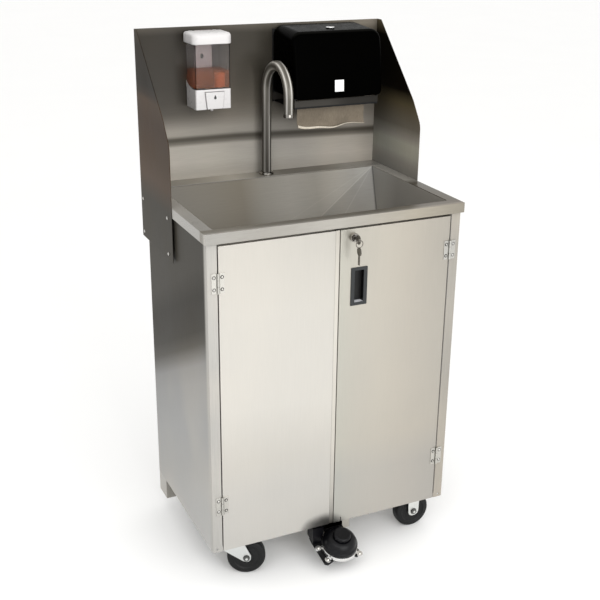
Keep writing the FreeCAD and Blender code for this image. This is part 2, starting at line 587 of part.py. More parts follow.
BUTTON_L, BUTTON_R = "(soap_centre - 23)", "(soap_centre + 29)"
soap_body = rounded(box((SOAP_L, SOAP_R), ("soap_front", SOAP_BACK), ("soap_base_low", "soap_base_high")),
                    "4", upright)
button_pocket = prism("XZ_Plane", [(f"{BUTTON_L} + 4.3", "-3"), (f"{BUTTON_R} - 4.3", "-3"),
                                   (f"{BUTTON_R} + 0.7", "44"), (f"{BUTTON_L} - 0.7", "44")], "20",
                      ("0", "soap_front + 15", "soap_base_low + 1"))
nozzle = cylinder("4", "15", ("soap_centre + 3", "soap_front + 24", "soap_base_low - 8"))
node(fuse(cut(soap_body, button_pocket), nozzle), "soap_base")
button_outline = [(f"{BUTTON_L} + 5", "0"), (f"{BUTTON_R} - 5", "0"), (BUTTON_R, "43"), (BUTTON_L, "43")]
node(prism("XZ_Plane", button_outline, "11", ("0", "soap_front + 7", "soap_base_low + 1")), "soap_button")

LID_FRONT, LID_REAR = "(soap_front - 4)", f"({WALL} - 5)"
lid_blank = rounded(box((f"{SOAP_L} - 5", f"{SOAP_R} + 5"), (LID_FRONT, LID_REAR),
                        ("soap_tank_high + 0.4", "soap_lid_high")), "4", upright)
lid_hollow = box((f"{SOAP_L} - 2.5", f"{SOAP_R} + 2.5"), (f"{LID_FRONT} + 2.5", f"{LID_REAR} - 2.5"),
                 ("soap_tank_high", "soap_lid_high - 2.5"))
lid_pieces = [cut(lid_blank, lid_hollow)]
for foot in ("soap_centre - 38", "soap_centre + 27"):
    lid_pieces.append(box((foot, f"{foot} + 11"), (f"{LID_REAR} - 1", LID_PIN[0]),
                          (f"{LID_PIN[1]} - 2.2", f"{LID_PIN[1]} + 2.2")))
    lid_pieces.append(cylinder("2.2", "11", (foot, *LID_PIN), TO_RIGHT))
node(cut(fuse(*lid_pieces), cylinder("1.25", "90", ("soap_centre - 45", *LID_PIN), TO_RIGHT)), "soap_lid")

# --- towel dispenser ------------------------------------------------------------------
LIP_L, LIP_R, LIP_FRONT = "(towel_left + 6)", "(towel_right - 7)", "(towel_front + 12)"
BACK_PLATE = "(rim_depth - 5)"
chassis_back = box(("towel_left", "towel_right"), (BACK_PLATE, "rim_depth"), ("lip_low", "towel_high - 12"))
shelf = box((LIP_L, LIP_R), (LIP_FRONT, BACK_PLATE), ("lip_low", "lip_low + 3"))
lip = box((LIP_L, LIP_R), (LIP_FRONT, f"{LIP_FRONT} + 3"), ("lip_low", "lip_low + 21"))
paper_slot = box((f"{LIP_L} + 10", f"{LIP_R} - 10"), ("roll_depth - 56", "roll_depth - 28"),
                 ("lip_low - 1", "lip_low + 4"))
HUB_AXIS = ("roll_depth", "roll_level")
ROLL_L, ROLL_R = "51", "(51 + roll_width)"
arms = []
for low, high, foot in ((f"{ROLL_L} - 6", f"{ROLL_L} - 3", f"{ROLL_L} - 6"),
                        (f"{ROLL_R} + 3", f"{ROLL_R} + 6", f"{ROLL_R} - 10")):
    arms.append(box((low, high), ("roll_depth - 14", BACK_PLATE), ("roll_level - 22", "roll_level + 22")))
    arms.append(cylinder("18.4", "16", (foot, *HUB_AXIS), TO_RIGHT))
COVER_PIN = ("(towel_front + 6.5)", "(towel_low + 3)")
EAR_TOP, EAR_REAR = f"{COVER_PIN[1]} + 3.6", f"{LIP_FRONT} + 6"
for foot in (LIP_L, f"({LIP_R} - 3)"):
    span = (foot, f"{foot} + 3")
    ear = fuse(cylinder("3.6", "3", (foot, *COVER_PIN), TO_RIGHT),
               box(span, (COVER_PIN[0], EAR_REAR), (f"{COVER_PIN[1]} - 3.6", EAR_TOP)),
               box(span, (LIP_FRONT, EAR_REAR), ("lip_low", EAR_TOP)))
    arms.append(cut(ear, cylinder("2.56", "3", (foot, *COVER_PIN), TO_RIGHT)))
node(fuse(cut(fuse(chassis_back, shelf, lip), paper_slot), *arms), "towel_chassis")

COVER_SIDE = [("towel_front", "towel_low"), ("towel_front + 2", "towel_low + 60"),
              ("towel_front + 24", "towel_high - 8"), ("rim_depth - 6", "towel_high - 2"),
              ("rim_depth - 6", "towel_low")]
COVER_INSIDE = [("towel_front + 2.5", "towel_low - 5"), ("towel_front + 4.5", "towel_low + 60"),
                ("towel_front + 26.2", "towel_high - 10.5"), ("rim_depth + 5", "towel_high - 4.5"),
                ("rim_depth + 5", "towel_low - 5")]


def cover_solid(outline, inset, corner):
    """The cover's side outline run across, with its two top corners rounded."""
    run = prism("YZ_Plane", outline, f"towel_right - towel_left - 2 * {inset}",
                (f"towel_left + {inset}", "0", "0"))
    run = rounded(run, "14", lambda one, two: abs(one.z - two.z) < 0.01 and abs(one.x - two.x) > 1
                  and one.z > size("towel_high") - 12 and one.y < size("towel_front + 40 - origin_depth"))
    block = box((f"towel_left + {inset}", f"towel_right - {inset}"), ("towel_front - 5", "rim_depth + 9"),
                ("towel_low - 9", f"towel_high - {inset}"))
    arch = rounded(block, corner, lambda one, two: fore_and_aft(one, two) and one.z > size("towel_low"))
    return common(run, arch)


towel_shell = cut(cover_solid(COVER_SIDE, 0, "26"), cover_solid(COVER_INSIDE, 2.5, "23.5"))
TOWEL_MIDDLE = "((towel_left + towel_right) / 2)"
cover_pins = [cylinder("2.5", "9", (foot, *COVER_PIN), TO_RIGHT)
              for foot in ("towel_left + 1.5", "towel_right - 10.5")]
cover_lock = cylinder("9", "2.5", (TOWEL_MIDDLE, "towel_front + 62", "towel_high - 7"))
node(fuse(towel_shell, cover_lock, *cover_pins), "towel_cover")

node(turned([("19", "0"), ("roll_radius", "0"), ("roll_radius", "roll_width"), ("19", "roll_width")],
            (ROLL_L, *HUB_AXIS), TO_RIGHT), "towel_roll")
node(box((f"{ROLL_L} + 1", f"{ROLL_R} - 1"), ("roll_depth - 42.5", "roll_depth - 41.7"),
         ("paper_low", "paper_low + 129")), "towel_sheet")

# --- foot pump ------------------------------------------------------------------------
PUMP = ("pump_across", "pump_depth", "pump_level")
TILT = Rotation(Vector(1, 0, 0), size("pump_tilt"))


def on_pump(radial, angle, along):
    """Position from the pump's centre in its own tilted frame."""
    u, v = radial * math.cos(math.radians(angle)), radial * math.sin(math.radians(angle))
    return (f"pump_across + {u}", f"pump_depth + {v} * cos(pump_tilt) - {along} * sin(pump_tilt)",
            f"pump_level + {v} * sin(pump_tilt) + {along} * cos(pump_tilt)")


LUG_ANGLES = (118, 171, 214, 318)
LUG_RADIUS = 58
pump_bowl = turned([("0", "-20"), ("28", "-20"), ("38", "-13"), ("42.3", "-7"), ("42.3", "-2.8"),
                    ("49", "-2.8"), ("49", "-0.2"), ("8.6", "-0.2"), ("8.6", "-17"), ("0", "-17")],
                   PUMP, TILT)
port_block = box(("-56", "-25"), ("12", PORT_REAR), ("50", "105"))
under_plate = prism("XY_Plane", [("-90", "-90"), ("90", "-90"), ("90", "90"), ("-90", "90")], "60",
                    on_pump(0, 0, -62.9), TILT)
ring_seat = cylinder("51.5", "90", on_pump(0, 0, -0.1), TILT)
lug_seats = [cylinder("9", "90", on_pump(LUG_RADIUS, angle, -2.9), TILT) for angle in LUG_ANGLES]
node(fuse(pump_bowl, cut(port_block, under_plate, ring_seat, *lug_seats)), "pump_body")
clamp = turned([("44", "0"), ("50.5", "0"), ("50.3", "2"), ("48.8", "10"), ("44", "10")], PUMP, TILT)
lugs = [cylinder("8.5", "5.8", on_pump(LUG_RADIUS, angle, -2.8), TILT) for angle in LUG_ANGLES]
bowl_room = cylinder("49.3", "2.9", on_pump(0, 0, -2.9), TILT)
node(fuse(clamp, *[cut(lug, bowl_room) for lug in lugs]), "pump_ring")
node(turned([("44.5", "10.3"), ("47.5", "10.3"), ("47.8", "14"), ("46.5", "24"), ("42", "33"), ("34", "39.5"),
             ("24.2", "42"), ("24.2", "39"), ("33", "36.5"), ("40", "31"), ("43.5", "24")],
            PUMP, TILT), "pump_dome")
node(turned([("0", "-2"), ("8.1", "-2"), ("8.1", "36"), ("23.4", "36"), ("23.4", "52"), ("20", "55"),
             ("0", "55")], PUMP, TILT), "pump_plunger")
pump_screws = [turned([("0", "0"), ("4", "0"), ("4", "2"), ("2.4", "3.6"), ("0", "3.6")],
                      on_pump(LUG_RADIUS, angle, 3), TILT) for angle in LUG_ANGLES]
node(fuse(*cabinet_screws, *pump_screws), "screws")

plate_outline = [("-66", "31"), ("-60", "-40"), ("-52", "-45"), ("-43", "-42"), ("-28", "-36"), ("0", "-42"),
                 ("26", "-38"), ("35", "-44"), ("47", "-43"), ("50", "-28"), ("44", "0"), ("40", "68"),
                 ("-39", "68"), ("-66", "50")]
base_plate = cut(prism("XY_Plane", plate_outline, "3", on_pump(0, 0, -6), TILT),
                 cylinder("42.8", "8", on_pump(0, 0, -9), TILT))
upright_plate = box(("-30", "50"), ("48", "54"), ("62", "pan_level - 14"))
node(fuse(base_plate, upright_plate), "pump_bracket")
hanger = box(("-30", "75"), ("54", "56"), ("54", "pan_level"))
hanger_tab = box(("-30", "75"), ("54", "86"), ("pan_level - 2", "pan_level"))
node(fuse(hanger, hanger_tab), "pump_hanger")


# --- casters ---------------------------------------------------------------------------
def beside(centre, heading, offset):
    """A point `offset` to the left of a wheel's centre, seen along its heading."""
    side = Rotation(Vector(0, 0, 1), heading).multVec(Vector(0, offset, 0))
    across, depth, height = centre
    return (f"{across} + {side.x}", f"{depth} + {side.y}", height)


def axle_turn(heading):
    """The turn that lays +Z along the axle, to the right of the heading."""
    return Rotation(Vector(0, 0, 1), heading).multiply(FORWARD)


def fork_legs(outline, centre, heading):
    """The two plates of a fork, standing either side of the wheel."""
    return [prism("XY_Plane", outline, "3", beside(centre, heading, offset), axle_turn(heading))
            for offset in (-17.6, 20.6)]


def axle_bolt(centre, heading):
    """A bolt through the fork with a hexagon nut outside each leg."""
    pieces = [cylinder("axle_radius", "52", beside(centre, heading, 26), axle_turn(heading))]
    for offset in (-20.0, 25.0):
        nut = doc.addObject("Part::Prism", "Nut")
        nut.Polygon, nut.Circumradius, nut.Height = 6, 8.2, 5.0
        pieces.append(place(nut, beside(centre, heading, offset), axle_turn(heading)))
    return pieces


def wheel(centre, heading, label):
    """A hard-rubber wheel with a stepped hub, bored for its axle."""
    edge, half = "wheel_radius", "wheel_width / 2"
    profile = [("axle_bore", f"-{half} - 1"), ("11", f"-{half} - 1"), ("12", f"-{half} + 3"),
               ("34", f"-{half} + 3"), ("36", f"-{half}"), (f"{edge} - 5", f"-{half}"),
               (edge, f"-{half} + 5"), (edge, f"{half} - 5"), (f"{edge} - 5", half), ("36", half),
               ("34", f"{half} - 3"),
               ("12", f"{half} - 3"), ("11", f"{half} + 1"), ("axle_bore", f"{half} + 1")]
    node(turned(profile, centre, axle_turn(heading)), label)


SWIVEL_LEG = [("-22", "62"), ("24", "62"), ("50", "6"), ("49", "-5"), ("43", "-11"), ("35", "-11"),
              ("28", "-8"), ("-22", "27")]
SWIVELS = {"front": -20.0, "rear": 25.0}
plates = []
for end, heading in SWIVELS.items():
    across, depth = "swivel_across", f"swivel_{end}"
    plates += [box((f"{across} - 33", f"{across} + 33"), (f"{depth} - 33", f"{depth} + 47"),
                   ("pan_level - 4", "pan_level")),
               cylinder("24", "9", (across, depth, "pan_level - 12")),
               cylinder("6", "19", (across, depth, "pan_level - 19"))]
    forward = Rotation(Vector(0, 0, 1), heading).multVec(Vector(1, 0, 0))
    pivot = (across, depth, "wheel_radius")
    hub = (f"{across} + caster_trail * {forward.x}", f"{depth} + caster_trail * {forward.y}", "wheel_radius")
    bridge = prism("XY_Plane", [("-22", "-20.6"), ("24", "-20.6"), ("24", "20.6"), ("-22", "20.6")], "3",
                   (across, depth, "pan_level - 17"), Rotation(Vector(0, 0, 1), heading))
    crown = cut(fuse(cylinder("23", "4.4", (across, depth, "pan_level - 17")), bridge),
                cylinder("6.06", "30", (across, depth, "pan_level - 30")))
    node(fuse(crown, *fork_legs(SWIVEL_LEG, pivot, heading), *axle_bolt(hub, heading)), f"swivel_fork_{end}")
    wheel(hub, heading, f"wheel_left_{end}")
node(fuse(*plates), "caster_plates")

RIGID_LEG = [("-19", "72.5"), ("19", "72.5"), ("16", "-2"), ("13", "-9"), ("6", "-13.5"), ("-6", "-13.5"),
             ("-13", "-9"), ("-16", "-2")]
rigid = []
for end in ("front", "rear"):
    centre = ("rigid_across", f"rigid_{end}", "wheel_radius")
    top_plate = box(("rigid_across - 45", "rigid_across + 45"), (f"rigid_{end} - 33", f"rigid_{end} + 33"),
                    ("pan_level - 3.5", "pan_level"))
    rigid.append(fuse(top_plate, *fork_legs(RIGID_LEG, centre, 0), *axle_bolt(centre, 0)))
    wheel(centre, 0, f"wheel_right_{end}")
node(fuse(*rigid), "rigid_forks")

# --- check and write ------------------------------------------------------------------
doc.recompute()
for item in doc.Objects:
    if "Invalid" in item.State or "Error" in item.State:
        raise RuntimeError(f"{item.Label} ({item.Name}) did not compute: {item.State}")
os.makedirs("parts", exist_ok=True)
whole = FreeCAD.BoundBox()
for label, item in nodes.items():
    if item.Shape.isNull() or not item.Shape.isValid() or item.Shape.Volume <= 0:
        raise RuntimeError(f"{label} has no valid shape")
    item.Shape.exportStep(f"parts/{label}.step")
    whole.add(item.Shape.BoundBox)
print(f"{len(nodes)} sub-parts, {whole.XLength:.1f} x {whole.YLength:.1f} x {whole.ZLength:.1f} mm")
print(f"middle of the box: {whole.Center.x:.2f}, {whole.Center.y:.2f}; lowest {whole.ZMin:.2f}")
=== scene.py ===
"""Looks for the portable hand-wash sink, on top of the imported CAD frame."""
import bmesh
import bpy
import json
import math
from mathutils import Matrix, Vector


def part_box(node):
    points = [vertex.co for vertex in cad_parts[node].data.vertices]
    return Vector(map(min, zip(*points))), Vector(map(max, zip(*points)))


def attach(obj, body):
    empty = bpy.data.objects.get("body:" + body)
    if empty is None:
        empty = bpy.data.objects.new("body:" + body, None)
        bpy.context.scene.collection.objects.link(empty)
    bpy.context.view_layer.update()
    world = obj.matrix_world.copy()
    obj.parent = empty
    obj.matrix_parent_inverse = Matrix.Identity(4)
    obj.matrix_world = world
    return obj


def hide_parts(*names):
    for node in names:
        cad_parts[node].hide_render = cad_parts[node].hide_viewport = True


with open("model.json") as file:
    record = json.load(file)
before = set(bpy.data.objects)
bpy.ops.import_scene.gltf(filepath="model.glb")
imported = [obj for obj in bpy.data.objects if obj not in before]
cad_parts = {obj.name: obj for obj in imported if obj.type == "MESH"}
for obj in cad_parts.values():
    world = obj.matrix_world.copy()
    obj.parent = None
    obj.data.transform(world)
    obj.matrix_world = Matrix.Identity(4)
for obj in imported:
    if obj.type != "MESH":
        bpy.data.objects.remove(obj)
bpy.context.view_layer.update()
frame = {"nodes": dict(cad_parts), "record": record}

NODES = frame["nodes"]
BODY_OF = {n: b for b, names in frame["record"]["behaviour"]["bodies"].items() for n in names}
SLOT_OF = {s["node"]: s["material_slot"] for s in frame["record"]["subparts"]}
RIM_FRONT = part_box("sink_top")[0].y     # depths are counted from the rim's front edge
RIM_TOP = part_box("sink_top")[1].z


def at(across, depth, level):
    """Row-frame metres from millimetres across, behind the rim's front edge, and above the floor."""
    return Vector((across / 1000, RIM_FRONT + depth / 1000, level / 1000))


# --- camera --------------------------------------------------------------------
CAMERA_PLACE = at(-1082.1, -2082.4, 1673.2)
CAMERA_RIGHT = Vector((0.9074, -0.4202, 0.0104))
CAMERA_UP = Vector((0.1444, 0.3348, 0.9312))
CAMERA_FORWARD = Vector((0.3947, 0.8434, -0.3644))
LENS, SENSOR = 61.87, 36.0      # millimetres


def make_camera():
    """The photograph's view."""
    data = bpy.data.cameras.new("camera")
    data.lens, data.sensor_width = LENS, SENSOR
    camera = bpy.data.objects.new("camera", data)
    turn = Matrix((CAMERA_RIGHT, CAMERA_UP, -CAMERA_FORWARD)).transposed().to_4x4()
    camera.matrix_world = Matrix.Translation(CAMERA_PLACE) @ turn
    bpy.context.collection.objects.link(camera)
    bpy.context.scene.camera = camera


make_camera()


# --- materials -------------------------------------------------------------------
OPEN_LIGHT = 0.86       # the share of a display colour that most surfaces are given
FACING_LAMP = 0.68      # sheets that face the front lamp need a darker surface to look the same
BUMP_DEPTH = 0.0004     # metres


def seen(red, green, blue, gain=OPEN_LIGHT):
    """The surface colour that looks like this display colour (0 to 255) in the studio's light."""
    return tuple(gain * (c / 255) ** 2.2 for c in (red, green, blue))


class Graph:
    """A material under construction, with helpers that add and join its nodes."""

    def __init__(self, name):
        self.material = bpy.data.materials.new(name)
        self.material.use_nodes = True
        self.tree = self.material.node_tree
        self.shader = self.tree.nodes["Principled BSDF"]
        texture = self.add("ShaderNodeTexCoord")
        self.place = texture.outputs["Object"]
        self.facing = self.add("ShaderNodeSeparateXYZ", Vector=texture.outputs["Normal"]).outputs
        self.axes = self.add("ShaderNodeSeparateXYZ", Vector=self.place).outputs

    def add(self, kind, **inputs):
        """A new node with its inputs joined or set."""
        node = self.tree.nodes.new(kind)
        for key, value in inputs.items():
            self.put(node, key, value)
        return node

    def put(self, node, key, value):
        """Join a socket to an input, or set the input's own number or colour."""
        socket = node.inputs[key]
        if isinstance(value, bpy.types.NodeSocket):
            self.tree.links.new(value, socket)
        elif socket.type == "RGBA" and len(value) == 3:
            socket.default_value = (*value, 1.0)
        else:
            socket.default_value = value

    def set(self, **inputs):
        """Join or set the shader's own inputs."""
        for key, value in inputs.items():
            self.put(self.shader, key.replace("_", " "), value)

    def noise(self, scale, detail=3.0, stretch=(1, 1, 1), roughness=0.55):
        mapping = self.add("ShaderNodeMapping", Vector=self.place, Scale=stretch)
        return self.add("ShaderNodeTexNoise", Vector=mapping.outputs["Vector"], Scale=scale, Detail=detail,
                        Roughness=roughness).outputs["Fac"]

    def ramp(self, value, low, high, out_low=0.0, out_high=1.0, kind="SMOOTHSTEP"):
        """`value` taken from low..high to out_low..out_high, and held beyond them."""
        node = self.add("ShaderNodeMapRange", Value=value)
        node.interpolation_type = kind
        for index, number in ((1, low), (2, high), (3, out_low), (4, out_high)):
            node.inputs[index].default_value = number
        return node.outputs[0]

    def math(self, operation, one, two=0.0):
        node = self.add("ShaderNodeMath")
        node.operation = operation
        self.put(node, 0, one)
        self.put(node, 1, two)
        return node.outputs[0]

    def mix(self, factor, one, two, blend="MIX"):
        node = self.add("ShaderNodeMix")
        node.data_type = "RGBA"
        node.blend_type = blend
        for index, value in ((0, factor), (6, one), (7, two)):
            self.put(node, index, value)
        return node.outputs[2]

    def times(self, one, two):
        """Two colours multiplied."""
        return self.mix(1.0, one, two, "MULTIPLY")

    def depth(self):
        """Metres behind the rim's front edge."""
        return self.math("SUBTRACT", self.axes["Y"], RIM_FRONT)

    def squares(self, *terms):
        """The sum of ((value - middle) / half) squared over (value, middle, half) terms."""
        total = 0.0
        for value, middle, half in terms:
            part = self.math("DIVIDE", self.math("SUBTRACT", value, middle), half)
            total = self.math("ADD", total, self.math("MULTIPLY", part, part))
        return total

    def band(self, value, rise, fall):
        """1 where `value` lies between the two (start, end) steps, 0 outside them."""
        return self.math("MULTIPLY", self.ramp(value, *rise), self.ramp(value, *fall, 1.0, 0.0))

    def vector(self, operation, one, two, result):
        """A vector sum; `result` is "Vector" or "Value"."""
        node = self.add("ShaderNodeVectorMath")
        node.operation = operation
        self.put(node, 0, one)
        self.put(node, 1, two)
        return node.outputs[result]

    def grey(self, value):
        """A number as a colour."""
        return self.add("ShaderNodeCombineXYZ", X=value, Y=value, Z=value).outputs[0]

    def stops(self, value, colours):
        """A colour that follows `value` through [(value, colour), ...]."""
        low, high = colours[0][0], colours[-1][0]
        node = self.add("ShaderNodeValToRGB", Fac=self.ramp(value, low, high, kind="LINEAR"))
        elements = node.color_ramp.elements
        while len(elements) < len(colours):
            elements.new(0.5)
        for element, (where, colour) in zip(elements, colours):
            element.position = (where - low) / (high - low)
            element.color = (*colour, 1.0)
        return node.outputs["Color"]

    def bump(self, height, strength):
        node = self.add("ShaderNodeBump", Height=height, Strength=strength, Distance=BUMP_DEPTH)
        self.tree.links.new(node.outputs["Normal"], self.shader.inputs["Normal"])


# how the grain is scaled along x, y and z
BRUSHED_DOWN, BRUSHED_ACROSS, UNBRUSHED = (1, 1, 0.02), (0.02, 1, 1), (1, 1, 1)


def metal(name, paint, grain=BRUSHED_DOWN, rough=0.3, blotch=0.08, metallic=1.0, lines=0.05, shine=0.5):
    """Brushed metal. `paint` is a colour, or a function that builds one from the graph."""
    g = Graph(name)
    base = paint(g) if callable(paint) else paint
    strokes = g.noise(900.0, 4.0, grain, 0.6)
    cloud = g.noise(3.2, 2.0, (1, 1, 0.7))
    tint = g.mix(g.ramp(cloud, 0.35, 0.65), (1 - blotch, 1 - 0.9 * blotch, 1 - 0.8 * blotch),
                 (1 + 0.4 * blotch, 1 + 0.25 * blotch, 1.0))
    stroke_tint = g.grey(g.ramp(strokes, 0.3, 0.7, 1 - lines, 1 + lines))
    g.set(Base_Color=g.times(g.times(base, tint), stroke_tint),
          Roughness=g.ramp(g.math("ADD", strokes, cloud), 0.7, 1.3, rough - 0.05, rough + 0.07),
          Metallic=metallic, Specular_IOR_Level=shine)
    g.bump(strokes, 0.06)
    return g.material


def plastic(name, paint, rough=0.4, grain=0.0, specular=0.5, speckle=0.04, index=1.5):
    """Moulded plastic or rubber, `grain` being the strength of its fine bumps."""
    g = Graph(name)
    base = paint(g) if callable(paint) else paint
    shade = g.grey(g.ramp(g.noise(14.0, 3.0), 0.3, 0.7, 1 - speckle, 1 + speckle))
    g.set(Base_Color=g.times(base, shade),
          Roughness=g.ramp(g.noise(60.0, 4.0), 0.3, 0.7, rough - 0.04, rough + 0.05),
          Specular_IOR_Level=specular, IOR=index)
    if grain:
        g.bump(g.noise(1400.0, 2.0), grain)
    return g.material


def clear(name, colour, rough, weight, index, edge=0.0):
    """See-through plastic or liquid; `edge` is painted shade that darkens the upright corners."""
    g = Graph(name)
    shade = g.grey(g.ramp(g.noise(30.0, 3.0), 0.3, 0.7, 0.96, 1.03))
    corner = g.math("ABSOLUTE", g.math("MULTIPLY", g.facing["X"], g.facing["Y"]))
    shade = g.times(shade, g.grey(g.ramp(corner, 0.10, 0.35, 1.0, 1.0 - edge)))
    g.set(Base_Color=g.times(colour, shade),
          Roughness=g.ramp(g.noise(40.0, 3.0), 0.3, 0.7, rough, rough + 0.05),
          Transmission_Weight=weight, IOR=index, Specular_IOR_Level=0.5)
    return g.material


def paper(name, colour):
    """Soft, cloudy paper with short fibres."""
    g = Graph(name)
    fibre = g.noise(420.0, 5.0, (1, 1, 0.35), 0.7)
    cloud = g.ramp(g.noise(22.0, 3.0), 0.3, 0.7, 0.9, 1.12)
    tint = g.grey(g.math("MULTIPLY", cloud, g.ramp(fibre, 0.3, 0.7, 0.86, 1.12)))
    g.set(Base_Color=g.times(colour, tint), Roughness=g.ramp(fibre, 0.3, 0.7, 0.85, 0.95),
          Specular_IOR_Level=0.2)
    g.bump(fibre, 0.3)
    return g.material


def warm(level, fall=3, gain=OPEN_LIGHT):
    """A steel grey: `level` in red, a little less in blue."""
    return seen(level, level - fall, level - 3 * fall, gain)


def front(level, fall=3):
    """The same grey on a sheet that faces the front lamp."""
    return warm(level, fall, FACING_LAMP)


# Stops are (place, colour) pairs: the place is metres along the surface, or the way it faces. Their
# levels were read from the photograph at points, then typed in and changed to come close.
FACES_FRONT = (-0.75, -0.5)     # the skin's own Y direction, from a front face to any other
STILE_END = (0.018, 0.034)      # depths from the bright front stile to the side sheet
EDGE_SLOPE = 0.512              # the edge of the slanted painted reflection: metres down per metre back
EDGE_DROP = 0.274               # how far below the rim it meets the front


def panel_paint(g):
    """Side sheets in painted reflection: dark above a slanted edge and light below it, with a bright front
    stile.
    """
    slanted = g.math("ADD", g.axes["Z"], g.math("MULTIPLY", g.axes["Y"], EDGE_SLOPE))
    edge = RIM_TOP - EDGE_DROP + EDGE_SLOPE * RIM_FRONT
    side = g.stops(g.math("SUBTRACT", slanted, edge), [
        (-0.56, warm(192, 2)), (-0.44, warm(185, 2)), (-0.34, warm(175, 2)), (-0.20, warm(167, 1)),
        (-0.09, warm(157, 1)), (-0.04, warm(146, 1)), (-0.01, warm(116, 2)), (0.015, warm(84)),
        (0.05, warm(62)), (0.14, warm(52)), (0.21, warm(68)), (0.45, warm(72))])
    stile = g.stops(g.axes["Z"], [
        (0.10, front(197)), (0.5, front(200)), (0.7, front(205)), (0.94, front(202))])
    # painted shade: the right-hand stile darker than the left
    far = g.mix(g.ramp(g.axes["X"], -0.1, 0.1), (1.0, 1.0, 1.0), (0.80, 0.77, 0.73))
    side = g.mix(g.ramp(g.depth(), *STILE_END), warm(184), side)
    return g.mix(g.ramp(g.facing["Y"], *FACES_FRONT), g.times(stile, far), side)


def splash_paint(g):
    """The splash back in painted reflections: a light foot, one thin dark band, and a dark top."""
    lean = g.math("MULTIPLY", g.math("MAXIMUM", g.axes["X"], -0.08), 0.03)
    level = g.math("SUBTRACT", g.math("ADD", g.axes["Z"], lean), RIM_TOP)
    tones = g.stops(level, [
        (-0.14, front(150)), (0.01, front(156)), (0.04, front(168)), (0.085, front(158)),
        (0.092, front(112)), (0.102, front(74)), (0.107, front(80)), (0.115, front(138)),
        (0.130, front(142)), (0.160, front(124)), (0.20, front(102)), (0.24, front(88)),
        (0.30, front(76)), (0.375, front(66)), (0.397, front(98))])
    # painted reflections: how the light foot and the dark top each change across the splash
    reflection_below = g.times(tones, g.stops(g.axes["X"], [
        (-0.345, (0.95, 0.90, 0.86)), (-0.28, (1.9, 1.85, 1.8)), (-0.2, (1.6, 1.58, 1.55)),
        (-0.08, (1.35, 1.33, 1.30)), (0.1, (1.5, 1.46, 1.42)), (0.3, (2.1, 2.0, 1.9))]))
    reflection_above = g.times(tones, g.stops(g.axes["X"], [
        (-0.345, (0.8, 0.75, 0.7)), (-0.2, (0.66, 0.63, 0.6)), (-0.1, (1.0, 0.94, 0.88)),
        (0.0, (1.05, 1.0, 0.92)), (0.3, (1.9, 1.8, 1.7))]))
    return g.mix(g.ramp(level, 0.112, 0.18), reflection_below, reflection_above)


def wing_paint(g):
    """Painted reflections: outer faces brown-grey below a dark top; the right wing's inner face has soft
    bands.
    """
    level = g.math("SUBTRACT", g.axes["Z"], RIM_TOP)
    outer = g.stops(level, [
        (-0.14, warm(70)), (-0.02, warm(66)), (0.04, seen(82, 68, 56)), (0.10, seen(72, 57, 42)),
        (0.18, seen(64, 48, 34)), (0.235, seen(72, 57, 42)), (0.25, seen(50, 40, 30)),
        (0.27, seen(34, 28, 16)), (0.36, seen(36, 29, 16)), (0.397, seen(60, 54, 44))])
    inner = g.stops(level, [
        (0.0, warm(132)), (0.03, warm(150, 4)), (0.055, seen(172, 170, 158)), (0.085, seen(172, 170, 158)),
        (0.105, warm(146, 4)), (0.13, warm(112, 5)), (0.19, seen(88, 80, 62)), (0.225, seen(22, 18, 14)),
        (0.36, seen(16, 14, 10)), (0.397, seen(90, 82, 66))])
    faces_left = g.ramp(g.facing["X"], -0.6, -0.5, 1.0, 0.0)
    inside = g.math("MULTIPLY", faces_left, g.ramp(g.axes["X"], 0.0, 0.1))
    return g.mix(inside, outer, inner)


# where the painted dark reflection of the foot pump lies on the doors
PUMP_REFLECTION = {"X": (-0.032, 1 / 15), "Z": (0.108, 1 / 24)}      # middle and half size


def door_paint(g):
    """Painted reflections: nearly white left of the meeting line, warmer right of it, and a painted dark
    reflection of the foot pump above it.
    """
    left = g.stops(g.axes["Z"], [
        (0.11, front(223)), (0.25, front(221)), (0.35, front(223, 4)), (0.5, front(231, 4)),
        (0.75, front(222, 4)), (0.93, front(210, 4))])
    right = g.stops(g.axes["Z"], [
        (0.11, front(207, 4)), (0.25, front(202, 4)), (0.35, front(209, 6)), (0.5, front(209, 6)),
        (0.93, front(205, 6))])
    # painted shade: the right door darker towards its outer edge
    fall = g.stops(g.axes["X"], [
        (0.0, (0.97, 1.01, 1.02)), (0.06, (0.99, 1.0, 1.01)), (0.12, (1.0, 1.0, 1.0)),
        (0.2, (0.96, 0.95, 0.95)), (0.31, (0.88, 0.88, 0.89))])
    right = g.times(right, fall)
    both = g.mix(g.ramp(g.axes["X"], 0.0016, 0.0018), left, right)
    # the painted dark reflection of the foot pump
    reflection_spot = g.squares(*((g.axes[axis], *where) for axis, where in PUMP_REFLECTION.items()))
    reflection_spot = g.math("ADD", reflection_spot, g.math("MULTIPLY", g.noise(26.0, 3.0), 0.5))
    return g.mix(g.ramp(reflection_spot, 0.35, 1.5), g.times(both, (0.16, 0.16, 0.16)), both)


def strip_paint(g):
    """The strip between the doors, in painted light that darkens to its foot, with painted shade on the
    step beside the left one.
    """
    sheet = g.stops(g.axes["Z"], [
        (0.11, front(90)), (0.15, front(178)), (0.2, front(206, 4)), (0.35, front(224, 5)),
        (0.65, front(230, 5)), (0.8, front(224, 5)), (0.93, front(210, 5))])
    step = g.ramp(g.axes["X"], -0.0110, -0.0086, 0.30, 1.0)
    return g.times(sheet, g.grey(step))


STRIP_END, DECK_START = (0.030, 0.036), (0.424, 0.432)      # depths between the rim's flat parts


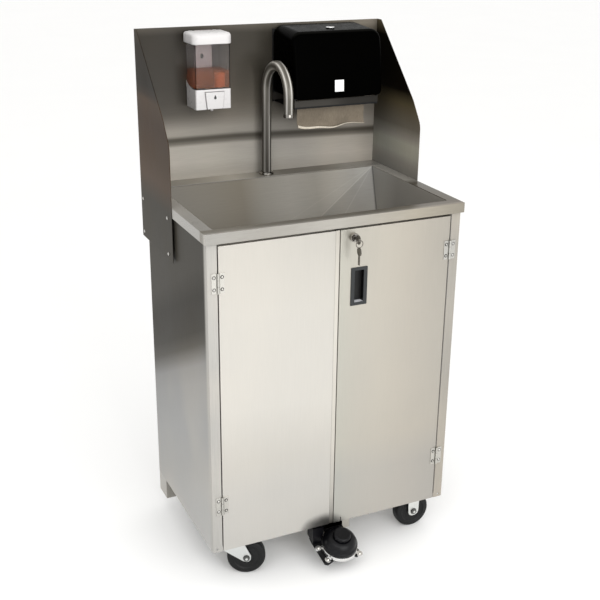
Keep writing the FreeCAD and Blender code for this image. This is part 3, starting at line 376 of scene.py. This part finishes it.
def rim_paint(g):
    """The rim in painted reflections: a light front face, a front strip that darkens inwards, quieter
    sides and deck.
    """
    depth = g.depth()
    apron = g.stops(g.axes["X"], [
        (-0.345, front(180)), (-0.2, front(169)), (0.0, front(188, 4)), (0.2, front(180, 7)),
        (0.345, front(157, 6))])
    strip = g.stops(depth, [
        (0.0, warm(176)), (0.005, warm(164, 4)), (0.014, warm(128, 4)), (0.033, warm(118, 5))])
    # painted shade: the front strip darker towards the right
    strip = g.times(strip, g.stops(g.axes["X"], [
        (-0.345, (1.3, 1.3, 1.3)), (-0.24, (1.15, 1.15, 1.15)), (-0.1, (0.95, 0.95, 0.95)),
        (0.17, (0.85, 0.83, 0.80)), (0.23, (0.66, 0.61, 0.55)), (0.345, (0.60, 0.52, 0.44))]))
    right = g.stops(depth, [
        (0.03, warm(96, 6)), (0.215, warm(96, 5)), (0.25, warm(184, 4)), (0.43, warm(212, 4))])
    side = g.mix(g.ramp(g.axes["X"], -0.1, 0.1), warm(172), right)
    deck = g.stops(g.axes["X"], [
        (-0.34, warm(140)), (-0.2, warm(166, 5)), (-0.1, warm(196, 5)), (0.0, warm(150, 5)),
        (0.05, warm(112, 5)), (0.16, warm(118, 5)), (0.25, warm(172)), (0.31, warm(178))])
    top = g.mix(g.ramp(depth, *STRIP_END), strip, g.mix(g.ramp(depth, *DECK_START), side, deck))
    return g.mix(g.ramp(g.facing["Y"], *FACES_FRONT), apron, top)


CORNER_LOW, CORNER_HIGH = at(303, 360, 801.5), at(314, 426.5, 965)
CREASE = 1.5        # metres across per metre down, from the corner's top
FOLDS = ((CREASE, 1.28), (0.85, 1.12), (2.3, 1.10))     # each faint line's slope and its painted shine


def bowl_paint(g):
    """The bowl in painted reflections: a lighter far wall with painted shade in its corner, and faint
    folds that fan from it drawn as painted highlight lines.
    """
    far = g.stops(g.axes["X"], [
        (-0.31, front(130, 4)), (-0.2, front(128, 5)), (-0.09, front(122, 6)), (-0.03, front(142, 5)),
        (0.05, front(157, 5)), (0.13, front(155, 5)), (0.2, front(180, 5)), (0.25, front(190, 4)),
        (0.31, front(222, 3))])
    # painted light: the far wall lighter towards its foot
    level = g.ramp(g.axes["Z"], 0.80, 0.95, 1.12, 1.0, "LINEAR")
    far = g.times(far, g.grey(level))
    span = CORNER_HIGH - CORNER_LOW
    share = g.math("DIVIDE", g.math("SUBTRACT", g.axes["Z"], CORNER_LOW.z), span.z)
    corner_x = g.math("ADD", g.math("MULTIPLY", share, span.x), CORNER_LOW.x)
    corner_y = g.math("ADD", g.math("MULTIPLY", share, span.y), CORNER_LOW.y)
    from_x = g.math("SUBTRACT", corner_x, g.axes["X"])
    from_y = g.math("SUBTRACT", corner_y, g.axes["Y"])
    fallen = g.math("SUBTRACT", CORNER_HIGH.z, g.axes["Z"])
    # painted highlight lines along the folds
    for slope, shine in FOLDS:
        gap = g.math("ABSOLUTE", g.math("SUBTRACT", from_x, g.math("MULTIPLY", fallen, slope)))
        far = g.times(far, g.grey(g.ramp(gap, 0.0008, 0.0032, shine, 1.0)))
    # painted shade on the far wall beyond the corner's crease
    beyond = g.math("SUBTRACT", from_x, g.math("MULTIPLY", fallen, CREASE))
    far = g.times(far, g.grey(g.ramp(beyond, -0.012, 0.012, 0.80, 1.0)))
    right = g.stops(g.depth(), [
        (0.03, warm(148)), (0.28, warm(146)), (0.35, warm(164)), (0.43, warm(166))])
    walls = g.mix(g.ramp(g.facing["X"], -0.7, -0.5), right, far)
    floor = g.stops(g.axes["X"], [(-0.3, warm(150)), (0.0, warm(140)), (0.3, warm(128, 4))])
    walls = g.mix(g.ramp(g.facing["Z"], 0.7, 0.9), walls, floor)
    # painted shade along the corner's crease
    apart = g.math("SQRT", g.squares((from_x, 0.0, 1.0), (from_y, 0.0, 1.0)))
    return g.times(walls, g.grey(g.ramp(apart, 0.001, 0.006, 0.45, 1.0)))


def spout_paint(g):
    """Painted reflections in lengthwise bands: the colour follows the way the tube's skin faces."""
    reflection_bands = g.stops(g.facing["X"], [
        (-1.0, warm(70)), (-0.85, warm(122)), (-0.72, warm(176)), (-0.55, warm(96)), (-0.3, warm(66)),
        (-0.05, warm(72)), (0.12, warm(130)), (0.3, warm(196)), (0.42, warm(120)), (0.6, warm(60)),
        (0.85, warm(56)), (1.0, warm(110))])
    # painted light: the tube lighter higher up
    level = g.ramp(g.axes["Z"], 1.08, 1.26, 1.05, 1.8)
    return g.times(reflection_bands, g.grey(level))


def cover_paint(g):
    """The towel cover: black, with a slightly paler top as painted sheen."""
    return g.mix(g.ramp(g.facing["Z"], 0.45, 0.8), (0.0003, 0.0003, 0.0002), (0.004, 0.0039, 0.0034))


HINGE_PIN = 0.3125                  # from the cabinet's middle
HINGE_SCREW = (0.010, 0.015)        # from the pin, and from the hinge's middle
HINGE_LOW, HINGE_HIGH, BETWEEN_HINGES = 0.248, 0.843, (0.50, 0.51)      # levels


def hinge_paint(g):
    """Leaves greyer than the doors, with rings of painted shade around the screws and lines of painted
    shade by the knuckles.
    """
    aside = g.math("ABSOLUTE", g.math("SUBTRACT", g.math("ABSOLUTE", g.axes["X"]), HINGE_PIN))
    middle = g.ramp(g.axes["Z"], *BETWEEN_HINGES, HINGE_LOW, HINGE_HIGH)
    above = g.math("ABSOLUTE", g.math("SUBTRACT", g.axes["Z"], middle))
    apart = g.math("SQRT", g.squares((aside, HINGE_SCREW[0], 1.0), (above, HINGE_SCREW[1], 1.0)))
    ring = g.band(apart, (0.0022, 0.0028), (0.0042, 0.0048))
    gap = g.band(aside, (0.0030, 0.0034), (0.0044, 0.0048))
    dark = g.math("MAXIMUM", ring, g.math("MULTIPLY", gap, 0.6))
    return g.mix(dark, seen(196, 194, 188), seen(58, 56, 54))


PULL_RECESS = (0.0072, 0.0082)      # depths from the pull's frame to its recess
PULL_FLOOR_TOP = (0.744, 0.746)     # no part of the recess's floor is higher


def pull_paint(g):
    """A grey frame round a recess held near black by painted shade, whose floor has a painted catch-light.
    """
    recess = g.ramp(g.depth(), *PULL_RECESS)
    low = g.ramp(g.axes["Z"], *PULL_FLOOR_TOP, 1.0, 0.0)
    floor = g.math("MULTIPLY", g.ramp(g.facing["Z"], 0.6, 0.8), g.math("MULTIPLY", recess, low))
    frame_tone = g.mix(recess, (0.019, 0.021, 0.022), (0.0015, 0.0015, 0.0016))
    return g.mix(floor, frame_tone, seen(235, 236, 240))


KEYHOLE = {"X": (-0.170, 0.0045), "Z": (1.287, 0.0065)}     # middle and half size


def bracket_paint(g):
    """A pale plate with a keyhole drawn as a dark spot of painted shade."""
    keyhole = g.squares(*((g.axes[axis], *where) for axis, where in KEYHOLE.items()))
    return g.mix(g.ramp(keyhole, 0.7, 1.3), (0.01, 0.01, 0.01), (0.40, 0.35, 0.34))


LIP_FOOT, LIP_TOP = (1.1605, 1.1625), (1.180, 1.182)       # levels


def chassis_paint(g):
    """The towel dispenser's back: black below its grey lip, dark grey above it."""
    lip = g.ramp(g.axes["Z"], *LIP_FOOT)
    lip_tone = g.mix(g.ramp(g.axes["X"], 0.12, 0.20), seen(66, 63, 58, 0.7), seen(42, 39, 34, 0.7))
    return g.mix(g.ramp(g.axes["Z"], *LIP_TOP), g.mix(lip, (0.002, 0.002, 0.002), lip_tone),
                 (0.012, 0.012, 0.012))


CASTERS = {     # how far each wheel is turned from straight, in degrees
    "wheel_left_front": -20, "wheel_left_rear": 25, "wheel_right_front": 0, "wheel_right_rear": 0}


def fork_paint(g):
    """Light zinc, with a dark line round each wheel's nut."""
    line = 0.0
    for wheel, heading in CASTERS.items():
        middle = (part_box(wheel)[0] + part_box(wheel)[1]) / 2
        turn = math.radians(heading)
        axle = (-math.sin(turn), math.cos(turn), 0.0)
        away = g.vector("SUBTRACT", g.place, tuple(middle), "Vector")
        apart = g.vector("LENGTH", g.vector("CROSS_PRODUCT", away, axle, "Vector"), (0, 0, 0), "Value")
        own = g.ramp(g.vector("LENGTH", away, (0, 0, 0), "Value"), 0.040, 0.042, 1.0, 0.0)
        ring = g.band(apart, (0.0030, 0.0040), (0.0085, 0.0100))
        line = g.math("MAXIMUM", line, g.math("MULTIPLY", ring, own))
    return g.mix(g.math("MULTIPLY", line, 0.85), seen(226, 228, 226), seen(56, 56, 54))


MATERIALS = {
    "steel_sheet": metal("steel_sheet", warm(180)),
    "steel_side": metal("steel_side", panel_paint, rough=0.38, blotch=0.12, metallic=0.08, shine=0.04),
    "steel_splash": metal("steel_splash", splash_paint, BRUSHED_ACROSS, rough=0.4, blotch=0.12,
                          metallic=0.25, shine=0.2),
    "steel_wing": metal("steel_wing", wing_paint, rough=0.4, blotch=0.16, metallic=0.08, shine=0.04),
    "steel_bright": metal("steel_bright", rim_paint, BRUSHED_ACROSS, rough=0.32, metallic=0.4, shine=0.25),
    "steel_bowl": metal("steel_bowl", bowl_paint, BRUSHED_ACROSS, rough=0.38, blotch=0.10,
                        metallic=0.25, shine=0.25),
    "steel_door": metal("steel_door", door_paint, rough=0.36, blotch=0.025, metallic=0.85, lines=0.02),
    "door_strip": metal("door_strip", strip_paint, rough=0.36, blotch=0.02, metallic=0.7, lines=0.02),
    "screw_steel": metal("screw_steel", seen(196, 194, 190), UNBRUSHED, rough=0.18, blotch=0.06),
    "hinge_steel": metal("hinge_steel", hinge_paint, UNBRUSHED, rough=0.22, blotch=0.05),
    "chrome": metal("chrome", seen(146, 142, 136), (1, 1, 0.05), rough=0.12, blotch=0.05),
    "spout_steel": metal("spout_steel", spout_paint, rough=0.34, blotch=0.05, metallic=0.5),
    "ring_steel": metal("ring_steel", seen(240, 240, 240), UNBRUSHED, rough=0.16, blotch=0.05),
    "nickel": metal("nickel", seen(116, 112, 106), UNBRUSHED, rough=0.24, blotch=0.06),
    "zinc": metal("zinc", fork_paint, UNBRUSHED, rough=0.34, blotch=0.06),
    "grey_plastic": plastic("grey_plastic", seen(110, 112, 114), 0.5),
    "dark_plastic": plastic("dark_plastic", chassis_paint, 0.42, specular=0.2),
    "bracket_plastic": plastic("bracket_plastic", bracket_paint, 0.45),
    "pull_plastic": plastic("pull_plastic", pull_paint, 0.42, grain=0.12, specular=0.3),
    "black_plastic": plastic("black_plastic", (0.007, 0.0075, 0.008), 0.42, grain=0.12, specular=0.22),
    "black_gloss": plastic("black_gloss", cover_paint, 0.24, specular=0.02, index=1.22),
    "white_plastic": plastic("white_plastic", (0.60, 0.585, 0.58), 0.3, speckle=0.015),
    "pale_plastic": plastic("pale_plastic", (0.88, 0.86, 0.83)),
    "tank_white": plastic("tank_white", (0.74, 0.76, 0.75), 0.42),
    "tank_grey": plastic("tank_grey", (0.28, 0.30, 0.31), 0.45),
    "cap_plastic": plastic("cap_plastic", (0.02, 0.07, 0.24)),
    "clear_hose": plastic("clear_hose", (0.55, 0.57, 0.55), 0.25),
    "black_rubber": plastic("black_rubber", (0.0018, 0.0018, 0.0028), 0.34, grain=0.2, specular=0.22),
    "wheel_rubber": plastic("wheel_rubber", (0.006, 0.0063, 0.0066), 0.45, grain=0.15, specular=0.22),
    "black_steel": plastic("black_steel", (0.004, 0.004, 0.0045), grain=0.1, specular=0.2),
    "smoke_clear": clear("smoke_clear", (0.93, 0.91, 0.91), 0.03, 0.98, 1.06, edge=0.75),
    "soap_amber": clear("soap_amber", (0.60, 0.25, 0.11), 0.05, 0.82, 1.04),
    "kraft_paper": paper("kraft_paper", (0.17, 0.142, 0.107)),
    # a paler paper for the curled edge, as a painted highlight
    "paper_edge": paper("paper_edge", (0.66, 0.60, 0.50)),
    "label_white": plastic("label_white", (0.78, 0.78, 0.77), 0.5),
    "mark_dark": plastic("mark_dark", (0.03, 0.03, 0.03), 0.5),
}
LOOK_OF = {
    "side_panel_left": "steel_side", "side_panel_right": "steel_side", "splash_back": "steel_splash",
    "splash_wing_left": "steel_wing", "splash_wing_right": "steel_wing", "faucet_spout": "spout_steel",
    "door_strip": "door_strip", "pull_cup": "pull_plastic", "pump_ring": "ring_steel",
    "soap_bracket": "bracket_plastic",
}
for label, item in NODES.items():
    item.data.materials.clear()
    item.data.materials.append(MATERIALS[LOOK_OF.get(label, SLOT_OF[label])])


# --- pieces ----------------------------------------------------------------------
def finish_piece(piece, body, replaces=()):
    """Put the piece in the scene, on its body, and in place of the CAD nodes named."""
    bpy.context.collection.objects.link(piece)
    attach(piece, body)
    if replaces:
        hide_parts(*replaces)
    return piece


def smooth_mesh(bm, name, material):
    """The mesh of `bm`, with its faces turned outwards and shaded smooth."""
    bmesh.ops.recalc_face_normals(bm, faces=bm.faces)
    for face in bm.faces:
        face.smooth = True
    mesh = bpy.data.meshes.new(name)
    bm.to_mesh(mesh)
    bm.free()
    mesh.materials.append(material)
    return mesh


def new_piece(name, mesh_maker, look, body, replaces=(), shell=0.0):
    """A piece whose mesh `mesh_maker(bm)` builds, thickened inwards by `shell` metres."""
    bm = bmesh.new()
    mesh_maker(bm)
    bmesh.ops.remove_doubles(bm, verts=bm.verts, dist=1e-6)
    piece = bpy.data.objects.new(name, smooth_mesh(bm, name, MATERIALS[look]))
    if shell:
        modifier = piece.modifiers.new("shell", "SOLIDIFY")
        modifier.thickness, modifier.offset = shell, -1
    piece.modifiers.new("shading", "WEIGHTED_NORMAL")
    return finish_piece(piece, body, replaces)


SAME_POINT = 2e-6                       # metres
FLAT_ANGLE = math.radians(1.0)          # faces that meet flatter than this become one
EDGE_ANGLE = math.radians(34)           # edges sharper than this are rounded


def without_slivers(piece):
    """Apply the piece's modifiers, then take out the faces of no area that they leave."""
    bpy.context.view_layer.update()
    mesh = bpy.data.meshes.new_from_object(piece.evaluated_get(bpy.context.evaluated_depsgraph_get()))
    piece.modifiers.clear()
    bm = bmesh.new()
    bm.from_mesh(mesh)
    bmesh.ops.remove_doubles(bm, verts=bm.verts, dist=SAME_POINT)
    bmesh.ops.dissolve_degenerate(bm, dist=SAME_POINT, edges=bm.edges)
    bmesh.ops.triangulate(bm, faces=[face for face in bm.faces if len(face.verts) > 4])
    bmesh.ops.dissolve_degenerate(bm, dist=SAME_POINT, edges=bm.edges)
    bm.to_mesh(piece.data)
    bm.free()


def refined(label, width):
    """The CAD node again, with its edges rounded over `width` metres, as its own piece."""
    source = NODES[label]
    bm = bmesh.new()
    bm.from_mesh(source.data)
    bmesh.ops.remove_doubles(bm, verts=bm.verts, dist=SAME_POINT)
    bmesh.ops.dissolve_limit(bm, angle_limit=FLAT_ANGLE, verts=bm.verts, edges=bm.edges)
    name = label + "_fine"
    piece = bpy.data.objects.new(name, smooth_mesh(bm, name, source.data.materials[0]))
    modifier = piece.modifiers.new("edges", "BEVEL")
    modifier.width, modifier.segments, modifier.limit_method = width, 2, "ANGLE"
    modifier.angle_limit = EDGE_ANGLE
    finish_piece(piece, BODY_OF[label], (label,))
    without_slivers(piece)
    piece.modifiers.new("shading", "WEIGHTED_NORMAL")


ROUNDED = {     # how far the edges of each of these nodes are rounded, in metres
    "side_panel_left": 0.0012, "side_panel_right": 0.0012, "sink_top": 0.0014, "sink_bowl": 0.0010,
    "splash_back": 0.0006, "splash_wing_left": 0.0006, "splash_wing_right": 0.0006, "door_left": 0.0009,
    "door_right": 0.0009, "door_strip": 0.0009, "rear_guard_left": 0.0010, "rear_guard_right": 0.0010,
    "bottom_pan": 0.0006, "back_panel": 0.0006, "pull_cup": 0.0009, "hinge_frame_leaves": 0.0004,
    "door_left_hinges": 0.0004, "door_right_hinges": 0.0004, "towel_chassis": 0.0008, "soap_base": 0.0012,
    "soap_button": 0.0014, "soap_bracket": 0.0005, "pump_bracket": 0.0007, "pump_hanger": 0.0006,
    "pump_body": 0.0010, "pump_ring": 0.0005, "swivel_fork_front": 0.0006, "swivel_fork_rear": 0.0006,
    "rigid_forks": 0.0006, "caster_plates": 0.0006, "lock_barrel": 0.0006, "lock_plug": 0.0004,
    "key": 0.0003, "spare_key": 0.0003, "faucet_flange": 0.0006, "fresh_tank": 0.0050,
    "waste_tank": 0.0050,
}
for label, width in ROUNDED.items():
    refined(label, width)


def bridge(bm, rings, closed=True):
    """Join successive rings of points with quads and give back the rings' vertices."""
    rows = [[bm.verts.new(point) for point in ring] for ring in rings]
    for one, two in zip(rows, rows[1:]):
        count = len(one)
        for k in range(count if closed else count - 1):
            bm.faces.new((one[k], one[(k + 1) % count], two[(k + 1) % count], two[k]))
    return rows


def capped(bm, rings):
    """A solid between the first ring and the last."""
    rows = bridge(bm, rings)
    bm.faces.new(rows[0])
    bm.faces.new(rows[-1])


def softened(profile):
    """A closed profile with its corners cut twice."""
    for _ in range(2):
        cut = []
        for one, two in zip(profile, profile[1:] + profile[:1]):
            cut.append((one[0] * 0.8 + two[0] * 0.2, one[1] * 0.8 + two[1] * 0.2))
            cut.append((one[0] * 0.2 + two[0] * 0.8, one[1] * 0.2 + two[1] * 0.8))
        profile = cut
    return profile


NEAR_AXIS = 0.02        # mm; no point of a turned profile lies nearer its axis


def lathe(profile, frame_of, steps=80):
    """A maker of the closed profile [(radius, along)] in mm, turned about the frame's z axis."""
    points = [(max(radius, NEAR_AXIS) / 1000, along / 1000) for radius, along in profile]

    def make(bm):
        rings = []
        for k in range(steps):
            turn = 2 * math.pi * k / steps
            rings.append([frame_of @ Vector((radius * math.cos(turn), radius * math.sin(turn), along))
                          for radius, along in points])
        bridge(bm, rings + rings[:1])
    return make


# the foot pump's dome and button, and the tyres, as [(radius, along)] profiles in mm
PUMP_TILT = 20
PUMP = Matrix.Translation(at(9.5, -14, 51.4)) @ Matrix.Rotation(math.radians(PUMP_TILT), 4, "X")
DOME = [(44.6, 10.4), (47.5, 10.4), (47.8, 15), (47.0, 20), (45.0, 22), (43.2, 25), (40.4, 32),
        (35, 38), (29.5, 41), (24.3, 42.4), (24.3, 39.6), (33, 35.6), (38.0, 30), (40.4, 24)]
new_piece("pump_dome_rubber", lathe(softened(DOME), PUMP), "black_rubber", "cabinet",
          ("pump_dome",))
BUTTON = [(0.0, -2), (8.0, -2), (8.0, 36), (22.6, 36), (23.3, 37), (23.3, 50), (22.2, 53.2),
          (19.5, 54.6), (17, 54.6), (16, 54.0), (0.0, 54.0)]
new_piece("pump_button", lathe(BUTTON, PUMP), "black_rubber", "pump_plunger",
          ("pump_plunger",))

TYRE_BORE, TYRE_HALF, TYRE_SIZE = 6.1, 16, 0.102      # hole radius and half width in mm, size in metres
TYRE_SIDE = [(6.1, 16), (11, 16), (12.4, 13), (19, 12.4), (20, 13.6), (21.5, 13.6), (22.5, 12.4),
             (32.5, 12.4), (34.5, 14.6), (36, 15.4), (38.5, 15.4), (39.5, 14.6), (41, 14.8),
             (45.5, 14.4), (48.6, 12.6), (50.4, 9.5), (50.95, 5)]
TYRE = [(radius, -along) for radius, along in TYRE_SIDE] + TYRE_SIDE[::-1]
STRAIGHT_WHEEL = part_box("wheel_right_front")       # the boxes of turned wheels are wider
TYRE_WIDER = (STRAIGHT_WHEEL[1].y - STRAIGHT_WHEEL[0].y) / 2 * 1000 / TYRE_HALF
for label, heading in CASTERS.items():
    low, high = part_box(label)
    axle = Matrix.Translation((low + high) / 2) @ Matrix.Rotation(math.radians(heading), 4, "Z") \
        @ Matrix.Rotation(math.radians(90), 4, "X")
    scale = (high.z - low.z) / TYRE_SIZE
    profile = [(max(radius * scale, TYRE_BORE), along * TYRE_WIDER) for radius, along in TYRE]
    new_piece(label + "_tyre", lathe(profile, axle), "wheel_rubber", BODY_OF[label],
              (label,))


# the towel dispenser's cover, in mm
COVER = {"left": 29.2, "right": 286.8, "low": 1182.0, "front": 338.2, "rear": 474.0, "top": 1357.6,
         "face_top": 1351.5, "fillet": 9.0, "corner": 27.0, "foot": 11.0}
BOW, BOW_TOP = 23.5, 1352       # the front bows back this far by this level


def cover_front(level):
    """How deep the cover's bowed front stands at a height."""
    rise = (level - COVER["low"]) / (BOW_TOP - COVER["low"])
    return COVER["front"] + BOW * max(rise, 0.0) ** 2.0


def cover_arch(inset, top, corner):
    """The cover seen from the front, from its lower left end over the top to the lower right one."""
    left, right, high = COVER["left"] + inset, COVER["right"] - inset, top - inset
    foot = COVER["foot"]
    low = COVER["low"] + foot
    turns = [math.pi / 2 * k / 5 for k in range(5)]
    side = [(left + foot - foot * math.sin(turn), low - foot * math.cos(turn)) for turn in turns]
    side += [(left, low + (high - corner - low) * k / 8) for k in range(8)]
    turns = [math.pi / 2 * k / 9 for k in range(10)]
    bend = [(left + corner - corner * math.cos(turn), high - corner + corner * math.sin(turn))
            for turn in turns]
    half = side + bend
    return half + [(left + right - x, z) for x, z in reversed(half)]


def make_cover(bm):
    """The face with its rounded rim, then the side walls to the rear edge."""
    rings = []
    fillet, corner, face_top = COVER["fillet"], COVER["corner"], COVER["face_top"]
    for k in range(6):
        turn = math.pi / 2 * k / 5
        inset, back = fillet * (1 - math.sin(turn)), fillet * (1 - math.cos(turn))
        rings.append([at(x, cover_front(z) + back, z)
                      for x, z in cover_arch(inset, face_top, corner - inset)])
    for share in (0.3, 0.7, 1.0):
        ring = []
        for x, z in cover_arch(0, face_top + (COVER["top"] - face_top) * share, corner):
            start = cover_front(min(z, face_top)) + fillet
            ring.append(at(x, start + (COVER["rear"] - start) * share, z))
        rings.append(ring)
    face = bridge(bm, rings, closed=False)[0]
    last = len(face) - 1
    for k in range(last // 2):
        bm.faces.new((face[k], face[last - k], face[last - k - 1], face[k + 1]))


new_piece("towel_cover_shell", make_cover, "black_gloss", "towel_cover", ("towel_cover",),
          shell=0.0022)
LOCK_DISC = [(0, 0), (11.6, 0), (11.6, 2.4), (11.0, 3.0), (6.5, 3.0), (6.0, 2.4), (0, 2.4)]
new_piece("towel_cover_lock", lathe(LOCK_DISC, Matrix.Translation(at(158, 400, 1353.4)), 40),
          "ring_steel", "towel_cover")


LABEL_SIDES, LABEL_LEVELS = (145, 171), range(1198, 1229, 6)


def make_label(bm):
    """A blank square that follows the cover's front, half a millimetre before it."""
    rows = [[at(x, cover_front(level) - 0.5, level) for x in LABEL_SIDES] for level in LABEL_LEVELS]
    bridge(bm, rows, closed=False)


new_piece("towel_label", make_label, "label_white", "towel_cover", shell=0.0006)


def pin(start, radius, length):
    """A maker of a short rod, `radius` by `length` mm, that runs across from `start`."""
    return lathe([(0, 0), (radius, 0), (radius, length), (0, length)],
                 Matrix.Translation(start) @ Matrix.Rotation(math.radians(90), 4, "Y"), 24)


for side, foot in (("left", 33.5), ("right", 273.5)):
    new_piece(f"towel_pin_{side}", pin(at(foot, 344.5, 1185), 2.45, 9), "black_plastic", "towel_cover")


# the paper towel's hanging end
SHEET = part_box("towel_sheet")
COLUMNS, LINES = 44, 30
EDGE_RISE = 0.006                       # from the foot of the sheet's box to its lower edge
SHEET_INSET, CURL_OUT = 0.0004, 0.0055  # behind and before the front of the sheet's box
WAVES_FROM, ROLLS_FROM = 0.62, 0.86     # shares of the drop


def sheet_x(across):
    """The place across of a share of the sheet's width."""
    return SHEET[0].x + (SHEET[1].x - SHEET[0].x) * across


def lower_edge(across):
    """How far the sheet's uneven end reaches below or above its middle line."""
    return 0.0035 * math.sin(5.2 * across + 0.6) + 0.0022 * math.sin(13 * across + 1.0) \
        - 0.009 * (1 - across) ** 6 - 0.004 * across ** 5


def ripple(across):
    """How far the sheet's end waves back and forth."""
    return 0.0025 * math.sin(9 * across + 0.5) + 0.0012 * math.sin(21 * across)


def make_towel(bm):
    """The hanging sheet: flat at its top, waving and rolling forwards at its end."""
    length = (SHEET[1].z - SHEET[0].z) - EDGE_RISE
    rows = []
    for j in range(LINES + 1):
        drop = j / LINES
        low = max(0.0, drop - WAVES_FROM) / (1 - WAVES_FROM)
        row = []
        for i in range(COLUMNS + 1):
            across = i / COLUMNS
            curl = -0.198 * max(0.0, drop - ROLLS_FROM) ** 1.6 * (0.55 + 0.45 * math.cos(6 * across))
            row.append(Vector((sheet_x(across), SHEET[0].y + SHEET_INSET + low * ripple(across) + curl,
                               SHEET[1].z - length * drop - lower_edge(across) * drop ** 3)))
        rows.append(row)
    bridge(bm, rows, closed=False)


towel = new_piece("paper_towel", make_towel, "kraft_paper", "cabinet", ("towel_sheet",),
                  shell=0.0004)


def make_curl(bm):
    """The lower edge of the sheet, rolled forwards, in a paler paper as a painted highlight."""
    rows = [[], [], []]
    for i in range(COLUMNS + 1):
        across = i / COLUMNS
        wide = 0.0016 + 0.0062 * (1 - across) ** 1.2
        y = SHEET[0].y + ripple(across) - CURL_OUT
        z = SHEET[0].z + EDGE_RISE - lower_edge(across)
        for row, (out, up) in zip(rows, ((0.0, 0.0), (-0.0022, 0.25 * wide), (-0.0030, wide))):
            row.append(Vector((sheet_x(across), y + out, z + up)))
    bridge(bm, rows, closed=False)


curl = new_piece("paper_curl", make_curl, "paper_edge", "cabinet", shell=0.0003)


# the soap dispenser's lid, in mm
LID = {"left": -219.8, "right": -114.2, "front": 403.2, "rear": 478.8, "low": 1325.6, "high": 1352.8,
       "front_corner": 16.0, "rear_corner": 3.0, "fillet": 9.0}


def lid_outline(inset):
    """The lid from above, with large front corners and small rear ones."""
    left, right = LID["left"] + inset, LID["right"] - inset
    near, back = LID["front"] + inset, LID["rear"] - inset
    large, small = LID["front_corner"], LID["rear_corner"]
    points = []
    for cx, cy, radius, first in ((left, near, large, 180), (right, near, large, 270),
                                  (right, back, small, 0), (left, back, small, 90)):
        radius = max(radius - inset, 0.5)
        mx = cx + radius if cx == left else cx - radius
        my = cy + radius if cy == near else cy - radius
        for k in range(9):
            turn = math.radians(first + 90 * k / 8)
            points.append((mx + radius * math.cos(turn), my + radius * math.sin(turn)))
    return points


def make_lid(bm):
    """The lid's wall, its rounded shoulder and its top; it is open below."""
    rings = [[at(x, y, LID["low"]) for x, y in lid_outline(0.8)],
             [at(x, y, LID["low"] + 1.2) for x, y in lid_outline(0.0)]]
    fillet = LID["fillet"]
    for k in range(7):
        turn = math.pi / 2 * k / 6
        rings.append([at(x, y, LID["high"] - fillet + fillet * math.sin(turn))
                      for x, y in lid_outline(fillet * (1 - math.cos(turn)))])
    rows = bridge(bm, rings)
    bm.faces.new(rows[-1])


new_piece("soap_lid_cap", make_lid, "white_plastic", "soap_lid", ("soap_lid",),
          shell=0.0022)
for side, foot in (("left", -205), ("right", -140)):
    new_piece(f"soap_lid_knuckle_{side}", pin(at(foot, 481.3, 1350), 2.1, 11), "white_plastic", "soap_lid")
CHEEK = [(412, 1212), (479.5, 1212), (479.5, 1228), (473, 1224), (464, 1219.5), (452, 1216), (436, 1213.5)]
DROP_SIDE = [(1.6, 2.2), (2.5, 0.2), (2.2, -1.6), (1.2, -2.6)]
DROP = [(0, 5.2)] + DROP_SIDE + [(0, -2.9)] + [(-x, z) for x, z in DROP_SIDE[::-1]]


def cheek(foot):
    """A maker of a thin cheek beside the soap tank, from `foot` mm across."""
    return lambda bm: capped(bm, [[at(foot + shift, y, z) for y, z in CHEEK] for shift in (0.0, 1.0)])


for side, foot in (("left", -215.0), ("right", -120.0)):
    new_piece(f"soap_cheek_{side}", cheek(foot), "white_plastic", "cabinet")


def make_mark(bm):
    """A plain drop, the usual sign for soap."""
    capped(bm, [[at(-164 + 1.4 * x, depth, 1192 + 1.4 * z) for x, z in DROP] for depth in (402.7, 403.1)])


new_piece("soap_mark", make_mark, "mark_dark", "soap_button")


# --- light and floor ---------------------------------------------------------------
FLOOR_HALF = 30.0
LAMPS = (       # name, place, width and power
    ("key", (-2.2, -2.6, 3.4), 2.2, 30.0),
    ("front", (0.3, -2.9, 1.55), 2.0, 46.0))
LAMPS_AIM = Vector((0, 0, 0.7))


def make_stage():
    """A large near-white floor, an even white sky, and two lamps in front."""
    half = FLOOR_HALF
    mesh = bpy.data.meshes.new("floor")
    mesh.from_pydata([(-half, -half, 0), (half, -half, 0), (half, half, 0), (-half, half, 0)], [],
                     [(0, 1, 2, 3)])
    floor = bpy.data.objects.new("floor", mesh)
    bpy.context.collection.objects.link(floor)
    g = Graph("floor")
    g.set(Base_Color=g.mix(g.noise(1.5, 2.0), (0.93, 0.93, 0.925), (0.95, 0.95, 0.945)),
          Roughness=g.ramp(g.noise(3.0, 2.0), 0.3, 0.7, 0.78, 0.85), Specular_IOR_Level=0.1)
    mesh.materials.append(g.material)
    world = bpy.data.worlds.new("studio")
    world.use_nodes = True
    background = world.node_tree.nodes["Background"]
    background.inputs["Color"].default_value = (1.0, 0.997, 0.99, 1.0)
    background.inputs["Strength"].default_value = 1.05
    bpy.context.scene.world = world
    for name, place, size, power in LAMPS:
        data = bpy.data.lights.new(name, "AREA")
        data.size, data.energy = size, power
        lamp = bpy.data.objects.new(name, data)
        lamp.location = place
        lamp.rotation_euler = (LAMPS_AIM - Vector(place)).to_track_quat("-Z", "Y").to_euler()
        bpy.context.collection.objects.link(lamp)
    bpy.context.scene.view_settings.view_transform = "Standard"


make_stage()
